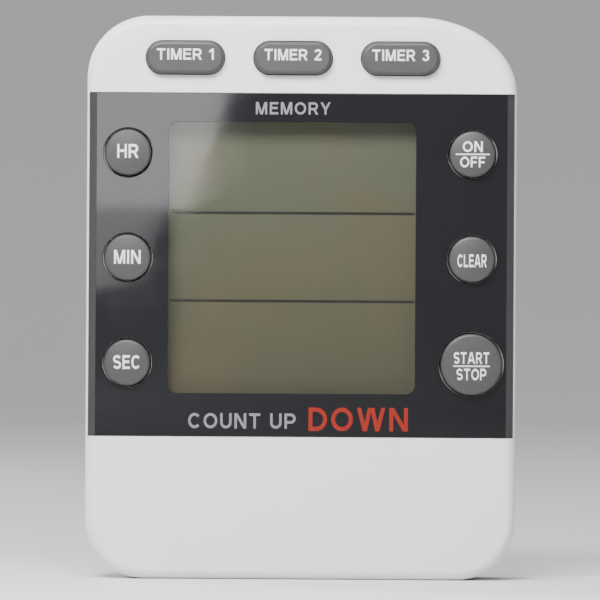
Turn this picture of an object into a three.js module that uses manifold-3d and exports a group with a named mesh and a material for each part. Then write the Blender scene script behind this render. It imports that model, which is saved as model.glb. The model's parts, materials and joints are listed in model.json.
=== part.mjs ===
// A three-channel electronic kitchen timer with a large display, standing upright on its bottom edge.
// Millimetres. X runs to the right seen from the front, Z runs up from the bottom edge.
// Everything hangs in one group, in which Y is the depth behind the front plane of the body.

import * as THREE from 'three';
import { mergeVertices } from 'three/addons/utils/BufferGeometryUtils.js';
import Module from 'manifold-3d';

const wasm = await Module();
wasm.setup();

// ------------------------------------------------------------------ driving dimensions

const BODY = { width: 84, height: 110, depth: 18 };
const CORNER = {
  topLeft: [12.1, 12.1],
  topRight: [20.1, 15.0],
  bottomLeft: [11.7, 11.7],
  bottomRight: [11.7, 11.7],
};
const WALL = 1.8;
const EDGE = { front: 2.0, back: 1.6, steps: 3 };
const PARTING = { depth: 10, gap: 0.12, lipHeight: 1.2, lipThickness: 0.8 };

// clearances, from tight to free
const FIT = { layer: 0.05, seat: 0.1, key: 0.2, free: 0.3 };

const LENS = {
  marginBottom: 27.9,
  marginTop: 15.1,
  lip: 0.45,
  thickness: 1.5,
  bevelWidth: 1.35,
  bevelDepth: 0.85,
};
const ADHESIVE = { thickness: 0.2, border: 0.5 };
const FLOOR_THICKNESS = 1.6;
const WINDOW = {
  marginLeft: 16.0,
  marginRight: 19.7,
  marginBottom: 36.3,
  marginTop: 20.7,
  radius: 1.8,
  hidden: 0.6,
};

const LCD = {
  seat: 0.5,
  sideMargin: 1.3,
  endMargin: 4.0,
  ledge: 3.0,
  polariser: 0.2,
  polariserInset: 0.6,
  glass: 0.7,
  reflector: 0.25,
};
const ZEBRA = { thickness: 2.2, endInset: 1.5 };
const RIB = { thickness: 1.0, height: 3.0, cornerGap: 2.0, segment: 8.0 };

const PCB = { front: 8.0, thickness: 1.2, inset: 1.0, marginBottom: 27.0 };
const MAT = { thickness: 1.0, border: 0.6, marginBottom: 35.0 };
const DOME = { base: 3.4, top: 1.9, rim: 0.75, skin: 0.45, pill: 1.2 };

const KEY = {
  proud: 1.8,
  travel: 1.0,
  crown: 0.35,
  edge: 0.6,
  flange: 0.8,
  flangeWidth: 0.8,
  wall: 0.9,
  stem: 1.4,
};
const COLUMN = { marginLeft: 8.1, marginRight: 8.7, marginBottom: 14.3, marginTop: 11.7 };
const SMALL_KEY_RADIUS = 4.5;
const START_KEY_RADIUS = 6.0;
const TIMER_KEY = { marginTop: 8.2, height: 6.35, gap: 5.8, overhang: 4.45 };

const BATTERY = { length: 44.5, radius: 5.25, nub: 0.8, nubRadius: 1.9, height: 16.0, slack: 0.35 };
const CONTACT = { thickness: 0.4, width: 7.0, tab: 3.0, tabRise: 1.4 };
const SPRING = { length: 2.9, wireRadius: 0.3, turns: 3.5, wide: 4.0, narrow: 2.1 };
const COMPARTMENT = { wall: 1.2 };
const DOOR = {
  border: 1.7,
  overlap: 0.5,
  axisRise: 0.7,
  thickness: 1.4,
  sunk: 0.1,
  pin: 0.5,
  pinLength: 0.9,
  seat: 1.5,
  tabWidth: 9.0,
  tabHeight: 1.1,
};

const STAND = {
  pivotHeight: 62,
  footBottom: 3.0,
  footHeight: 3.6,
  legWidth: 3.5,
  legGap: 3.5,
  thickness: 2.6,
  sunk: 0.3,
  heel: 1.7,
  pin: 1.0,
  pinLength: 1.4,
  openDegrees: 38,
  backing: 1.2,
  cheekBelow: 5,
  cheekAbove: 3,
  pocketBelow: 2.5,
};
const SCOOP = { radius: 8, flatness: 0.4, centreZ: 1.1, backingTop: 4 };

const MAGNET = { radius: 6.0, thickness: 2.1, centreX: 24, marginTop: 24, wall: 1.2 };
const PIEZO = {
  radius: 10.0,
  plate: 0.25,
  ceramicRadius: 7.0,
  ceramic: 0.2,
  chamber: 1.1,
  marginTop: 22,
  ring: 1.0,
  shelf: 0.8,
  ringHeight: 1.4,
};
const GRILLE = { radius: 8.0, slots: 5, slotWidth: 1.3, pitch: 3.0 };

const SCREW = { shaft: 1.0, head: 2.1, headHeight: 1.5, sunk: 4.0, tip: 5.6, slot: 0.35, sides: 12 };
const POST = { radius: 2.6, recess: 2.4, recessWall: 0.8, frontGap: 0.8, rearGap: 0.6 };
const POST_INSET = { topLeft: [6.5, 11], topRight: [7.5, 12], lower: 0.9, lowerZ: 22 };
const BOARD_SCREW = { shaft: 0.75, head: 1.6, headHeight: 1.0, tip: 4.8, slot: 0.25, sides: 8 };
const BOARD_POST = { radius: 1.9, fromGlass: 3.0, below: 2.9, above: 3.7, rightRaise: 0.8 };

const CHIP = { radius: 7.0, height: 1.6 };
const CRYSTAL = { radius: 1.0, length: 6.0, right: 14, up: 8 };
const CAPACITOR = { radius: 2.0, length: 5.4, left: 13, aboveGlass: 9 };

const WIRE_RADIUS = 0.5;

// How far an added solid reaches into the one it joins, and a cut past the face it opens.
const SINK = 0.5;

// ------------------------------------------------------------------ places worked out from them

const HALF_WIDTH = BODY.width / 2;
const lens = {
  halfWidth: HALF_WIDTH - LENS.lip - FIT.seat,
  bottom: LENS.marginBottom,
  top: BODY.height - LENS.marginTop,
};
const recessDepth = LENS.thickness + ADHESIVE.thickness + 2 * FIT.layer;
const floorBack = recessDepth + FLOOR_THICKNESS;
const window_ = {
  left: -HALF_WIDTH + WINDOW.marginLeft,
  right: HALF_WIDTH - WINDOW.marginRight,
  bottom: WINDOW.marginBottom,
  top: BODY.height - WINDOW.marginTop,
};
const windowCentreX = (window_.left + window_.right) / 2;
const glass = {
  left: window_.left - LCD.sideMargin,
  right: window_.right + LCD.sideMargin,
  bottom: window_.bottom - LCD.endMargin,
  top: window_.top + LCD.endMargin,
};
const polariserFront = floorBack + LCD.seat + FIT.layer;
const frontGlassFront = polariserFront + LCD.polariser + FIT.layer;
const rearGlassFront = frontGlassFront + LCD.glass + FIT.layer;
const reflectorFront = rearGlassFront + LCD.glass + FIT.layer;
const pcbBack = PCB.front + PCB.thickness;
const matFront = PCB.front - FIT.layer - MAT.thickness;
const pillFront = PCB.front - KEY.travel;
const keyBack = floorBack + FIT.free + KEY.flange + KEY.travel - FIT.key;
const domeFront = keyBack + FIT.layer;

const column = {
  left: -HALF_WIDTH + COLUMN.marginLeft,
  right: HALF_WIDTH - COLUMN.marginRight,
  low: lens.bottom + COLUMN.marginBottom,
  high: lens.top - COLUMN.marginTop,
};
column.middle = (column.low + column.high) / 2;
const timerKeyLength = (window_.right - window_.left + 2 * TIMER_KEY.overhang - 2 * TIMER_KEY.gap) / 3;
const timerPitch = timerKeyLength + TIMER_KEY.gap;
const timerKeyZ = BODY.height - TIMER_KEY.marginTop;

const backInside = BODY.depth - WALL;
const intoBackWall = backInside + WALL / 3;
const doorOutside = BODY.depth - DOOR.sunk;
const doorInside = doorOutside - DOOR.thickness;
const batteryDepth = doorInside - BATTERY.slack - BATTERY.radius;
const compartment = {
  halfLength: (BATTERY.length + SPRING.length + 2 * CONTACT.thickness + 5 * FIT.seat) / 2,
  bottom: BATTERY.height - BATTERY.radius - BATTERY.slack,
  top: BATTERY.height + BATTERY.radius + BATTERY.slack,
  front: batteryDepth - BATTERY.radius - BATTERY.slack,
};
const door = {
  halfWidth: compartment.halfLength + DOOR.border,
  bottom: compartment.bottom - DOOR.overlap,
  axisZ: compartment.top + DOOR.axisRise,
  axisDepth: doorOutside - DOOR.thickness / 2,
};

const legInner = door.halfWidth + STAND.legGap;
const legOuter = legInner + STAND.legWidth;
const standOutside = BODY.depth - STAND.sunk;
const standInside = standOutside - STAND.thickness;
const standAxisDepth = (standOutside + standInside) / 2;
const openAngle = THREE.MathUtils.degToRad(STAND.openDegrees);
const heelReach = (STAND.thickness / 2) * Math.cos(openAngle) + STAND.heel * Math.sin(openAngle);
const heelSwing = Math.hypot(STAND.thickness / 2, STAND.heel);

const lowerScrewX = legOuter + FIT.free + POST.recess + POST_INSET.lower;
const housingScrews = {
  top_left: [-HALF_WIDTH + POST_INSET.topLeft[0], BODY.height - POST_INSET.topLeft[1]],
  top_right: [HALF_WIDTH - POST_INSET.topRight[0], BODY.height - POST_INSET.topRight[1]],
  bottom_left: [-lowerScrewX, POST_INSET.lowerZ],
  bottom_right: [lowerScrewX, POST_INSET.lowerZ],
};
const screwSeat = BODY.depth - SCREW.sunk;
const boardScrewX = timerPitch / 2;
const boardScrews = {
  left_low: [column.left, (column.low + column.middle) / 2],
  left_high: [column.left, (column.middle + column.high) / 2],
  right_low: [column.right, (column.low + column.middle) / 2 + BOARD_POST.rightRaise],
  right_high: [column.right, (column.middle + column.high) / 2],
  bottom_left: [glass.left + BOARD_POST.fromGlass, glass.bottom - BOARD_POST.below],
  bottom_right: [glass.right - BOARD_POST.fromGlass, glass.bottom - BOARD_POST.below],
  top_left: [windowCentreX - boardScrewX, glass.top + BOARD_POST.above],
  top_right: [windowCentreX + boardScrewX, glass.top + BOARD_POST.above],
};

const magnetZ = BODY.height - MAGNET.marginTop;
const piezoZ = BODY.height - PIEZO.marginTop;
const piezoBack = backInside - PIEZO.chamber;

// ------------------------------------------------------------------ solids

// A closed geometry with merged corners and faces that point out becomes a manifold solid.
function solid(geometry) {
  geometry.deleteAttribute('normal');
  geometry.deleteAttribute('uv');
  const merged = mergeVertices(geometry, 1e-5);
  const corners = [];
  for (let i = 0; i < merged.index.count; i += 3) {
    const [a, b, c] = [0, 1, 2].map((k) => merged.index.getX(i + k));
    if (a !== b && b !== c && c !== a) corners.push(a, b, c);
  }
  if (signedVolume(merged.attributes.position, corners) < 0) corners.reverse();
  const vertProperties = new Float32Array(merged.attributes.position.array);
  const mesh = new wasm.Mesh({ numProp: 3, vertProperties, triVerts: new Uint32Array(corners) });
  return new wasm.Manifold(mesh);
}

function signedVolume(position, corners) {
  const [a, b, c] = [new THREE.Vector3(), new THREE.Vector3(), new THREE.Vector3()];
  let volume = 0;
  for (let i = 0; i < corners.length; i += 3) {
    a.fromBufferAttribute(position, corners[i]);
    b.fromBufferAttribute(position, corners[i + 1]);
    c.fromBufferAttribute(position, corners[i + 2]);
    volume += a.dot(b.cross(c)) / 6;
  }
  return volume;
}

function geometryOf(manifold) {
  const { vertProperties, triVerts } = manifold.getMesh();
  const geometry = new THREE.BufferGeometry();
  geometry.setAttribute('position', new THREE.BufferAttribute(vertProperties, 3));
  geometry.setIndex(new THREE.BufferAttribute(triVerts, 1));
  return geometry;
}

function join(first, ...others) {
  return others.reduce((sum, other) => sum.add(other), first);
}

function cut(first, ...others) {
  return others.reduce((rest, other) => rest.subtract(other), first);
}

// A box between pairs of X, depth and Z.
function block([x0, x1], [y0, y1], [z0, z1]) {
  const geometry = new THREE.BoxGeometry(x1 - x0, y1 - y0, z1 - z0);
  geometry.translate((x0 + x1) / 2, (y0 + y1) / 2, (z0 + z1) / 2);
  return solid(geometry);
}

// A cylinder along the depth.
function rod([x, z], radius, front, back, sides = 20) {
  const geometry = new THREE.CylinderGeometry(radius, radius, back - front, sides);
  geometry.translate(x, (front + back) / 2, z);
  return solid(geometry);
}

// A cylinder along X.
function crossRod(x0, x1, depth, z, radius, sides = 16) {
  const geometry = new THREE.CylinderGeometry(radius, radius, x1 - x0, sides);
  geometry.rotateZ(Math.PI / 2);
  geometry.translate((x0 + x1) / 2, depth, z);
  return solid(geometry);
}

// An outline drawn as seen from the front, given depth, with rounded rims where round is set.
function slab(shape, front, back, round = 0, steps = EDGE.steps) {
  const geometry = new THREE.ExtrudeGeometry(shape, {
    depth: back - front - 2 * round,
    curveSegments: 6,
    bevelEnabled: round > 0,
    bevelThickness: round,
    bevelSize: round,
    bevelOffset: -round,
    bevelSegments: steps,
  });
  geometry.rotateX(Math.PI / 2);
  geometry.translate(0, back - round, 0);
  return solid(geometry);
}

// A section drawn in depth and Z, carried along X.
function carriedAlongX(points, x0, x1) {
  const shape = new THREE.Shape(points.map(([depth, z]) => new THREE.Vector2(-z, depth)));
  const geometry = new THREE.ExtrudeGeometry(shape, { depth: x1 - x0, bevelEnabled: false });
  geometry.rotateY(Math.PI / 2);
  geometry.translate(x0, 0, 0);
  return solid(geometry);
}

// A turned piece whose axis runs along the depth.
function turned(profile, sides) {
  const points = profile.map(([radius, depth]) => new THREE.Vector2(radius, depth));
  return solid(new THREE.LatheGeometry(points, sides));
}

// The body's outline, drawn in from the edge, with a quarter ellipse at each corner.
function bodyOutline(inset) {
  const left = -HALF_WIDTH + inset;
  const right = HALF_WIDTH - inset;
  const top = BODY.height - inset;
  const [tl, tr, bl, br] = [CORNER.topLeft, CORNER.topRight, CORNER.bottomLeft, CORNER.bottomRight].map(
    (radii) => radii.map((radius) => radius - inset),
  );
  const quarter = Math.PI / 2;
  const shape = new THREE.Shape();
  shape.absellipse(right - br[0], inset + br[1], br[0], br[1], -quarter, 0, false);
  shape.absellipse(right - tr[0], top - tr[1], tr[0], tr[1], 0, quarter, false);
  shape.absellipse(left + tl[0], top - tl[1], tl[0], tl[1], quarter, 2 * quarter, false);
  shape.absellipse(left + bl[0], inset + bl[1], bl[0], bl[1], 2 * quarter, 3 * quarter, false);
  shape.closePath();
  return shape;
}

function roundedRectangle({ left, right, bottom, top }, radius) {
  const quarter = Math.PI / 2;
  const shape = new THREE.Shape();
  shape.absarc(right - radius, bottom + radius, radius, -quarter, 0, false);
  shape.absarc(right - radius, top - radius, radius, 0, quarter, false);
  shape.absarc(left + radius, top - radius, radius, quarter, 2 * quarter, false);
  shape.absarc(left + radius, bottom + radius, radius, 2 * quarter, 3 * quarter, false);
  shape.closePath();
  return shape;
}

// A rectangle with half-round ends, centred on a point.
function stadium([x, z], length, height) {
  const radius = height / 2;
  const shape = new THREE.Shape();
  shape.absarc(x + length / 2 - radius, z, radius, -Math.PI / 2, Math.PI / 2, false);
  shape.absarc(x - length / 2 + radius, z, radius, Math.PI / 2, 1.5 * Math.PI, false);
  shape.closePath();
  return shape;
}

function grown(rectangle, by) {
  return {
    left: rectangle.left - by,
    right: rectangle.right + by,
    bottom: rectangle.bottom - by,
    top: rectangle.top + by,
  };
}

// ------------------------------------------------------------------ where the keys are

const keys = [
  { name: 'timer_1', at: [windowCentreX - timerPitch, timerKeyZ], oblong: true },
  { name: 'timer_2', at: [windowCentreX, timerKeyZ], oblong: true },
  { name: 'timer_3', at: [windowCentreX + timerPitch, timerKeyZ], oblong: true },
  { name: 'hour', at: [column.left, column.high], radius: SMALL_KEY_RADIUS },
  { name: 'minute', at: [column.left, column.middle], radius: SMALL_KEY_RADIUS },
  { name: 'second', at: [column.left, column.low], radius: SMALL_KEY_RADIUS },
  { name: 'on_off', at: [column.right, column.high], radius: SMALL_KEY_RADIUS },
  { name: 'clear', at: [column.right, column.middle], radius: SMALL_KEY_RADIUS },
  { name: 'start_stop', at: [column.right, column.low], radius: START_KEY_RADIUS },
];
const roundKeys = keys.filter((key) => !key.oblong);
const oblongKeys = keys.filter((key) => key.oblong);

// ------------------------------------------------------------------ front housing

function frontShell() {
  const outer = slab(bodyOutline(0), 0, BODY.depth, EDGE.front);
  const behind = block([-BODY.width, BODY.width], [PARTING.depth, BODY.depth + 1], [-1, BODY.height + 1]);
  const cavity = slab(bodyOutline(WALL), floorBack, BODY.depth);
  const shallow = slab(bodyOutline(WALL), WALL, floorBack + SINK);
  const lensBand = [lens.bottom - WALL, lens.top + WALL];
  const bandKept = block([-BODY.width, BODY.width], [0, BODY.depth], lensBand);
  return cut(outer, behind, cavity, shallow.subtract(bandKept), lipRebate());
}

function lipRebate() {
  const inset = WALL - PARTING.lipThickness - FIT.seat;
  return slab(bodyOutline(inset), PARTING.depth - PARTING.lipHeight - FIT.seat, PARTING.depth + 1);
}

function lensRecess() {
  const half = lens.halfWidth + FIT.seat;
  return block([-half, half], [-1, recessDepth], [lens.bottom - FIT.seat, lens.top + FIT.seat]);
}

function keyHole(key, front, back, clearance) {
  if (key.oblong) {
    const length = timerKeyLength + 2 * clearance;
    return slab(stadium(key.at, length, TIMER_KEY.height + 2 * clearance), front, back);
  }
  return rod(key.at, key.radius + clearance, front, back, 24);
}

function lcdSeat() {
  return slab(roundedRectangle(glass, 0.5), floorBack - SINK, floorBack + LCD.seat);
}

function lcdOpening() {
  const opening = roundedRectangle(grown(window_, WINDOW.hidden), WINDOW.radius);
  return slab(opening, 0, floorBack + LCD.seat + 1);
}

// Ribs that keep the display in place. The left one is broken where the keys' flanges pass.
function lcdRibs() {
  const depth = [floorBack - SINK, floorBack + RIB.height];
  const edge = grown(glass, FIT.seat + FIT.layer);
  const along = [edge.left + RIB.cornerGap, edge.right - RIB.cornerGap];
  const ribs = [
    block(along, depth, [edge.top, edge.top + RIB.thickness]),
    block(along, depth, [edge.bottom - RIB.thickness, edge.bottom]),
  ];
  const rightSpan = [edge.bottom + RIB.cornerGap, edge.top - RIB.cornerGap];
  ribs.push(block([edge.right, edge.right + RIB.thickness], depth, rightSpan));
  for (const [, z] of [boardScrews.left_low, boardScrews.left_high]) {
    const span = [z - RIB.segment / 2, z + RIB.segment / 2];
    ribs.push(block([edge.left - RIB.thickness, edge.left], depth, span));
  }
  return ribs;
}

// A screw post starts inside the front wall, wherever that is at its height.
function postStart(z) {
  const inBand = z > lens.bottom - WALL && z < lens.top + WALL;
  return (inBand ? recessDepth : 0) + FLOOR_THICKNESS / 2;
}

function housingPosts() {
  const back = PARTING.depth - POST.frontGap;
  return Object.values(housingScrews).map((at) => rod(at, POST.radius, postStart(at[1]), back, 14));
}

function boardPosts() {
  const back = PCB.front - FIT.layer;
  return Object.values(boardScrews).map((at) => rod(at, BOARD_POST.radius, postStart(at[1]), back, 12));
}

function postBores() {
  const large = Object.values(housingScrews).map((at) =>
    rod(at, SCREW.shaft + FIT.seat, SCREW.tip - SINK, PARTING.depth, 10),
  );
  const small = Object.values(boardScrews).map((at) =>
    rod(at, BOARD_SCREW.shaft + FIT.seat, BOARD_SCREW.tip - SINK, PCB.front, 8),
  );
  return [...large, ...small];
}

// Room for a round key's flange, which may reach into the side wall.
function flangeWell(key) {
  const back = floorBack + KEY.flange + KEY.travel + 2 * FIT.free;
  return keyHole(key, floorBack, back, KEY.flangeWidth + FIT.key);
}

function frontHousing() {
  const shell = cut(frontShell(), lensRecess(), ...roundKeys.map(flangeWell));
  const withSeat = join(shell, lcdSeat(), ...lcdRibs(), ...housingPosts(), ...boardPosts());
  const holes = keys.map((key) => keyHole(key, -1, floorBack + 0.3, FIT.key));
  return cut(withSeat, lcdOpening(), ...postBores(), ...holes);
}

// ------------------------------------------------------------------ lens and display

// The lens has bevelled sides that carry on the rounded edge of the housing.
function lensPanel() {
  const half = lens.halfWidth;
  const flat = half - LENS.bevelWidth;
  const section = new THREE.Shape([
    new THREE.Vector2(-flat, 0),
    new THREE.Vector2(flat, 0),
    new THREE.Vector2(half, LENS.bevelDepth),
    new THREE.Vector2(half, LENS.thickness),
    new THREE.Vector2(-half, LENS.thickness),
    new THREE.Vector2(-half, LENS.bevelDepth),
  ]);
  const geometry = new THREE.ExtrudeGeometry(section, { depth: lens.top - lens.bottom, bevelEnabled: false });
  geometry.translate(0, 0, lens.bottom);
  return cut(solid(geometry), ...roundKeys.map((key) => keyHole(key, -1, LENS.thickness + 1, FIT.key)));
}

function lensAdhesive() {
  const front = LENS.thickness + FIT.layer;
  const back = front + ADHESIVE.thickness;
  const half = lens.halfWidth - ADHESIVE.border;
  const z = [lens.bottom + ADHESIVE.border, lens.top - ADHESIVE.border];
  const opening = slab(roundedRectangle(grown(window_, WINDOW.hidden), WINDOW.radius), 0, back + 1);
  const holes = roundKeys.map((key) => keyHole(key, 0, back + 1, FIT.key + FIT.free));
  return cut(block([-half, half], [front, back], z), opening, ...holes);
}

function sheetIn({ left, right, bottom, top }, front, thickness) {
  return block([left, right], [front, front + thickness], [bottom, top]);
}

const shortGlass = { ...glass, bottom: glass.bottom + LCD.ledge, top: glass.top - LCD.ledge };

function zebra(z) {
  const x = [glass.left + ZEBRA.endInset, glass.right - ZEBRA.endInset];
  const depth = [rearGlassFront, PCB.front - FIT.layer];
  return block(x, depth, [z - ZEBRA.thickness / 2, z + ZEBRA.thickness / 2]);
}

// ------------------------------------------------------------------ keys and keypad

// The crown is a shallow arc that turns down over a rounded edge.
function crown(radius) {
  const points = [];
  const flat = radius - KEY.edge;
  for (let step = 0; step <= 2; step += 1) {
    const reach = (flat * step) / 2;
    points.push([reach, -KEY.proud + KEY.crown * (reach / flat) ** 2]);
  }
  for (let step = 1; step <= 2; step += 1) {
    const angle = (step / 2) * (Math.PI / 2);
    const down = KEY.edge * (1 - Math.cos(angle));
    points.push([flat + KEY.edge * Math.sin(angle), -KEY.proud + KEY.crown + down]);
  }
  return points;
}

function roundKey(radius) {
  const flangeFront = floorBack + FIT.free;
  const flangeBack = flangeFront + KEY.flange;
  return turned(
    [
      ...crown(radius),
      [radius, flangeFront],
      [radius + KEY.flangeWidth, flangeFront],
      [radius + KEY.flangeWidth, flangeBack],
      [radius - KEY.wall, flangeBack],
      [radius - KEY.wall, KEY.wall],
      [KEY.stem, KEY.wall],
      [KEY.stem, keyBack],
      [0, keyBack],
    ],
    20,
  );
}

function oblongKey() {
  const flangeFront = WALL + FIT.free;
  const flangeBack = flangeFront + KEY.flange;
  const centre = [0, 0];
  const [length, height] = [timerKeyLength, TIMER_KEY.height];
  const outline = (by) => stadium(centre, length + 2 * by, height + 2 * by);
  const rim = KEY.edge + KEY.crown;
  const rounded = slab(outline(0), -KEY.proud, flangeBack + 2 * rim, rim, 2);
  const top = cut(rounded, block([-length, length], [flangeBack, BODY.depth], [-height, height]));
  const flange = slab(outline(KEY.flangeWidth), flangeFront, flangeBack);
  const pocket = slab(outline(-KEY.wall), KEY.wall, BODY.depth);
  const stem = rod(centre, KEY.stem, KEY.wall / 2, keyBack, 12);
  return join(cut(join(top, flange), pocket), stem);
}

// A hollow bell of rubber with a contact pill hanging inside it.
function dome() {
  const rimFront = PCB.front - FIT.layer - DOME.rim;
  const back = PCB.front - FIT.layer;
  const inner = DOME.base - 2 * DOME.skin;
  return turned(
    [
      [0, domeFront],
      [DOME.top, domeFront],
      [DOME.base - DOME.skin, rimFront],
      [DOME.base, rimFront],
      [DOME.base, back],
      [inner, back],
      [inner, rimFront],
      [DOME.top - DOME.skin, domeFront + DOME.skin],
      [DOME.pill, domeFront + DOME.skin],
      [DOME.pill, pillFront],
      [0, pillFront],
    ],
    12,
  );
}

// The rubber mat runs up both sides of the display and over the top of it.
function keypadMat() {
  const depth = [matFront, matFront + MAT.thickness];
  const sheet = slab(bodyOutline(WALL + PCB.inset + MAT.border), ...depth);
  const display = grown(glass, RIB.thickness + 2 * FIT.free);
  const displayRoom = block([display.left, display.right], [0, BODY.depth], [0, display.top]);
  const below = block([-BODY.width, BODY.width], [0, BODY.depth], [-1, MAT.marginBottom]);
  const seats = keys.map((key) => rod(key.at, DOME.base + FIT.seat, 0, BODY.depth, 12));
  const posts = [
    ...bores(housingScrews, POST.radius + FIT.free, 12),
    ...bores(boardScrews, BOARD_POST.radius + FIT.free, 12),
  ];
  return cut(sheet, displayRoom, below, ...seats, ...posts);
}

function bores(places, radius, sides) {
  return Object.values(places).map((at) => rod(at, radius, 0, BODY.depth, sides));
}

// ------------------------------------------------------------------ circuit board and what it carries

function mainBoard() {
  const sheet = slab(bodyOutline(WALL + PCB.inset), PCB.front, pcbBack);
  const below = block([-BODY.width, BODY.width], [0, BODY.depth], [-1, PCB.marginBottom]);
  const large = bores(housingScrews, POST.radius + FIT.free, 12);
  const small = bores(boardScrews, BOARD_SCREW.shaft + FIT.seat, 8);
  return cut(sheet, below, ...large, ...small);
}

function chipBlob() {
  const profile = [];
  for (let step = 0; step <= 4; step += 1) {
    const angle = (step / 4) * (Math.PI / 2);
    profile.push([CHIP.radius * Math.cos(angle), CHIP.height * Math.sin(angle)]);
  }
  profile[4][0] = 0;
  return turned([[0, 0], ...profile], 20);
}

function crystal() {
  return crossRod(-CRYSTAL.length / 2, CRYSTAL.length / 2, CRYSTAL.radius, 0, CRYSTAL.radius, 12);
}

function capacitor() {
  return crossRod(-CAPACITOR.length / 2, CAPACITOR.length / 2, CAPACITOR.radius, 0, CAPACITOR.radius, 16);
}

// ------------------------------------------------------------------ rear housing

// Two legs and a foot, as an outline that can grow by a clearance on every side.
function standOutline(by, top) {
  const low = STAND.footBottom - by;
  const inside = STAND.footBottom + STAND.footHeight + by;
  const outer = legOuter + by;
  const inner = legInner - by;
  const points = [
    [-outer, low],
    [outer, low],
    [outer, top],
    [inner, top],
    [inner, inside],
    [-inner, inside],
    [-inner, top],
    [-outer, top],
  ];
  return new THREE.Shape(points.map(([x, z]) => new THREE.Vector2(x, z)));
}

const standTop = STAND.pivotHeight + STAND.heel;
const grooveFloor = standInside - FIT.key;
const heelFloor = standAxisDepth - heelReach - FIT.seat;

// Material behind the groove, thicker cheeks at the pivots, and a block behind the finger scoop.
function standBacking() {
  const front = grooveFloor - STAND.backing;
  const back = intoBackWall;
  const top = standTop + STAND.cheekAbove;
  const groove = slab(standOutline(FIT.free + STAND.backing, top), front, back);
  const z = [STAND.pivotHeight - STAND.cheekBelow, top];
  const depth = [heelFloor - STAND.backing, back];
  const outer = legOuter + FIT.free + STAND.pinLength + STAND.backing;
  const inner = legInner - FIT.free - STAND.backing;
  const cheeks = [block([inner, outer], depth, z), block([-outer, -inner], depth, z)];
  const scoopHalf = SCOOP.radius + STAND.backing;
  const scoopBack = block([-scoopHalf, scoopHalf], [front, back], [WALL / 3, SCOOP.backingTop]);
  return [groove, ...cheeks, scoopBack];
}

function standCuts() {
  const groove = slab(standOutline(FIT.free, standTop + FIT.free), grooveFloor, BODY.depth + 1);
  const cuts = [groove];
  for (const side of [-1, 1]) {
    const x = [legInner - FIT.free, legOuter + FIT.free].map((value) => side * value).sort((a, b) => a - b);
    const z = [STAND.pivotHeight - STAND.pocketBelow, STAND.pivotHeight + heelSwing + FIT.key];
    cuts.push(block(x, [heelFloor, BODY.depth + 1], z));
  }
  const reach = legOuter + STAND.pinLength + FIT.free;
  cuts.push(crossRod(-reach, reach, standAxisDepth, STAND.pivotHeight, STAND.pin + FIT.key));
  return [...cuts, fingerScoop()];
}

// A flat half-oval in the bottom rim, from which a fingernail reaches the stand's foot.
function fingerScoop() {
  const shape = new THREE.Shape();
  shape.absellipse(0, SCOOP.centreZ, SCOOP.radius, SCOOP.radius * SCOOP.flatness, 0, 2 * Math.PI, false);
  return slab(shape, grooveFloor + FIT.free, BODY.depth + 1);
}

function batteryBox() {
  const half = compartment.halfLength + COMPARTMENT.wall;
  const z = [compartment.bottom - COMPARTMENT.wall, compartment.top + COMPARTMENT.wall];
  return block([-half, half], [compartment.front - COMPARTMENT.wall, doorInside - FIT.layer], z);
}

function doorSeat() {
  const half = door.halfWidth + FIT.key + DOOR.seat;
  const z = [door.bottom - FIT.key - DOOR.seat, door.axisZ + DOOR.thickness / 2 + FIT.key + DOOR.seat];
  return block([-half, half], [doorInside - FIT.layer - DOOR.seat, intoBackWall], z);
}

function doorCuts() {
  const inside = block(
    [-compartment.halfLength, compartment.halfLength],
    [compartment.front, BODY.depth + 1],
    [compartment.bottom, compartment.top],
  );
  const half = door.halfWidth + FIT.key;
  const openingZ = [door.bottom - FIT.key, door.axisZ + DOOR.thickness / 2 + FIT.key];
  const opening = block([-half, half], [doorInside - FIT.layer, BODY.depth + 1], openingZ);
  const notchHalf = DOOR.tabWidth / 2 + FIT.free;
  const notchZ = [door.bottom - DOOR.tabHeight - FIT.free, door.bottom];
  const notch = block([-notchHalf, notchHalf], [doorInside - FIT.free, BODY.depth + 1], notchZ);
  const reach = door.halfWidth + DOOR.pinLength + FIT.key;
  const bore = crossRod(-reach, reach, door.axisDepth, door.axisZ, DOOR.pin + FIT.seat, 12);
  return [inside, opening, notch, bore, ...contactSlots()];
}

// Slots in the top wall of the compartment, where the contacts' solder tabs come out.
function contactSlots() {
  const depth = [batteryDepth - CONTACT.tab / 2 - FIT.key, batteryDepth + CONTACT.tab / 2 + FIT.key];
  const z = [compartment.top - SINK, compartment.top + COMPARTMENT.wall + SINK];
  const width = CONTACT.thickness + FIT.key + FIT.free;
  const end = compartment.halfLength;
  return [block([-end, -end + width], depth, z), block([end - width, end], depth, z)];
}

function magnetPocketBacking() {
  const front = BODY.depth - MAGNET.thickness - FIT.seat - MAGNET.wall;
  const radius = MAGNET.radius + FIT.seat + MAGNET.wall;
  return [-1, 1].map((side) => rod([side * MAGNET.centreX, magnetZ], radius, front, intoBackWall, 20));
}

function magnetPockets() {
  const front = BODY.depth - MAGNET.thickness - FIT.seat;
  return [-1, 1].map((side) =>
    rod([side * MAGNET.centreX, magnetZ], MAGNET.radius + FIT.seat, front, BODY.depth + 1, 24),
  );
}

// A stepped ring that holds the sounder's edge clear of the back wall.
function piezoRing() {
  const at = [0, piezoZ];
  const outer = rod(at, PIEZO.radius + FIT.free + PIEZO.ring, piezoBack - PIEZO.ringHeight, intoBackWall, 24);
  const well = rod(at, PIEZO.radius + FIT.free, 0, piezoBack + FIT.layer, 24);
  const chamber = rod(at, PIEZO.radius - PIEZO.shelf, 0, backInside, 24);
  return cut(outer, well, chamber);
}

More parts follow.
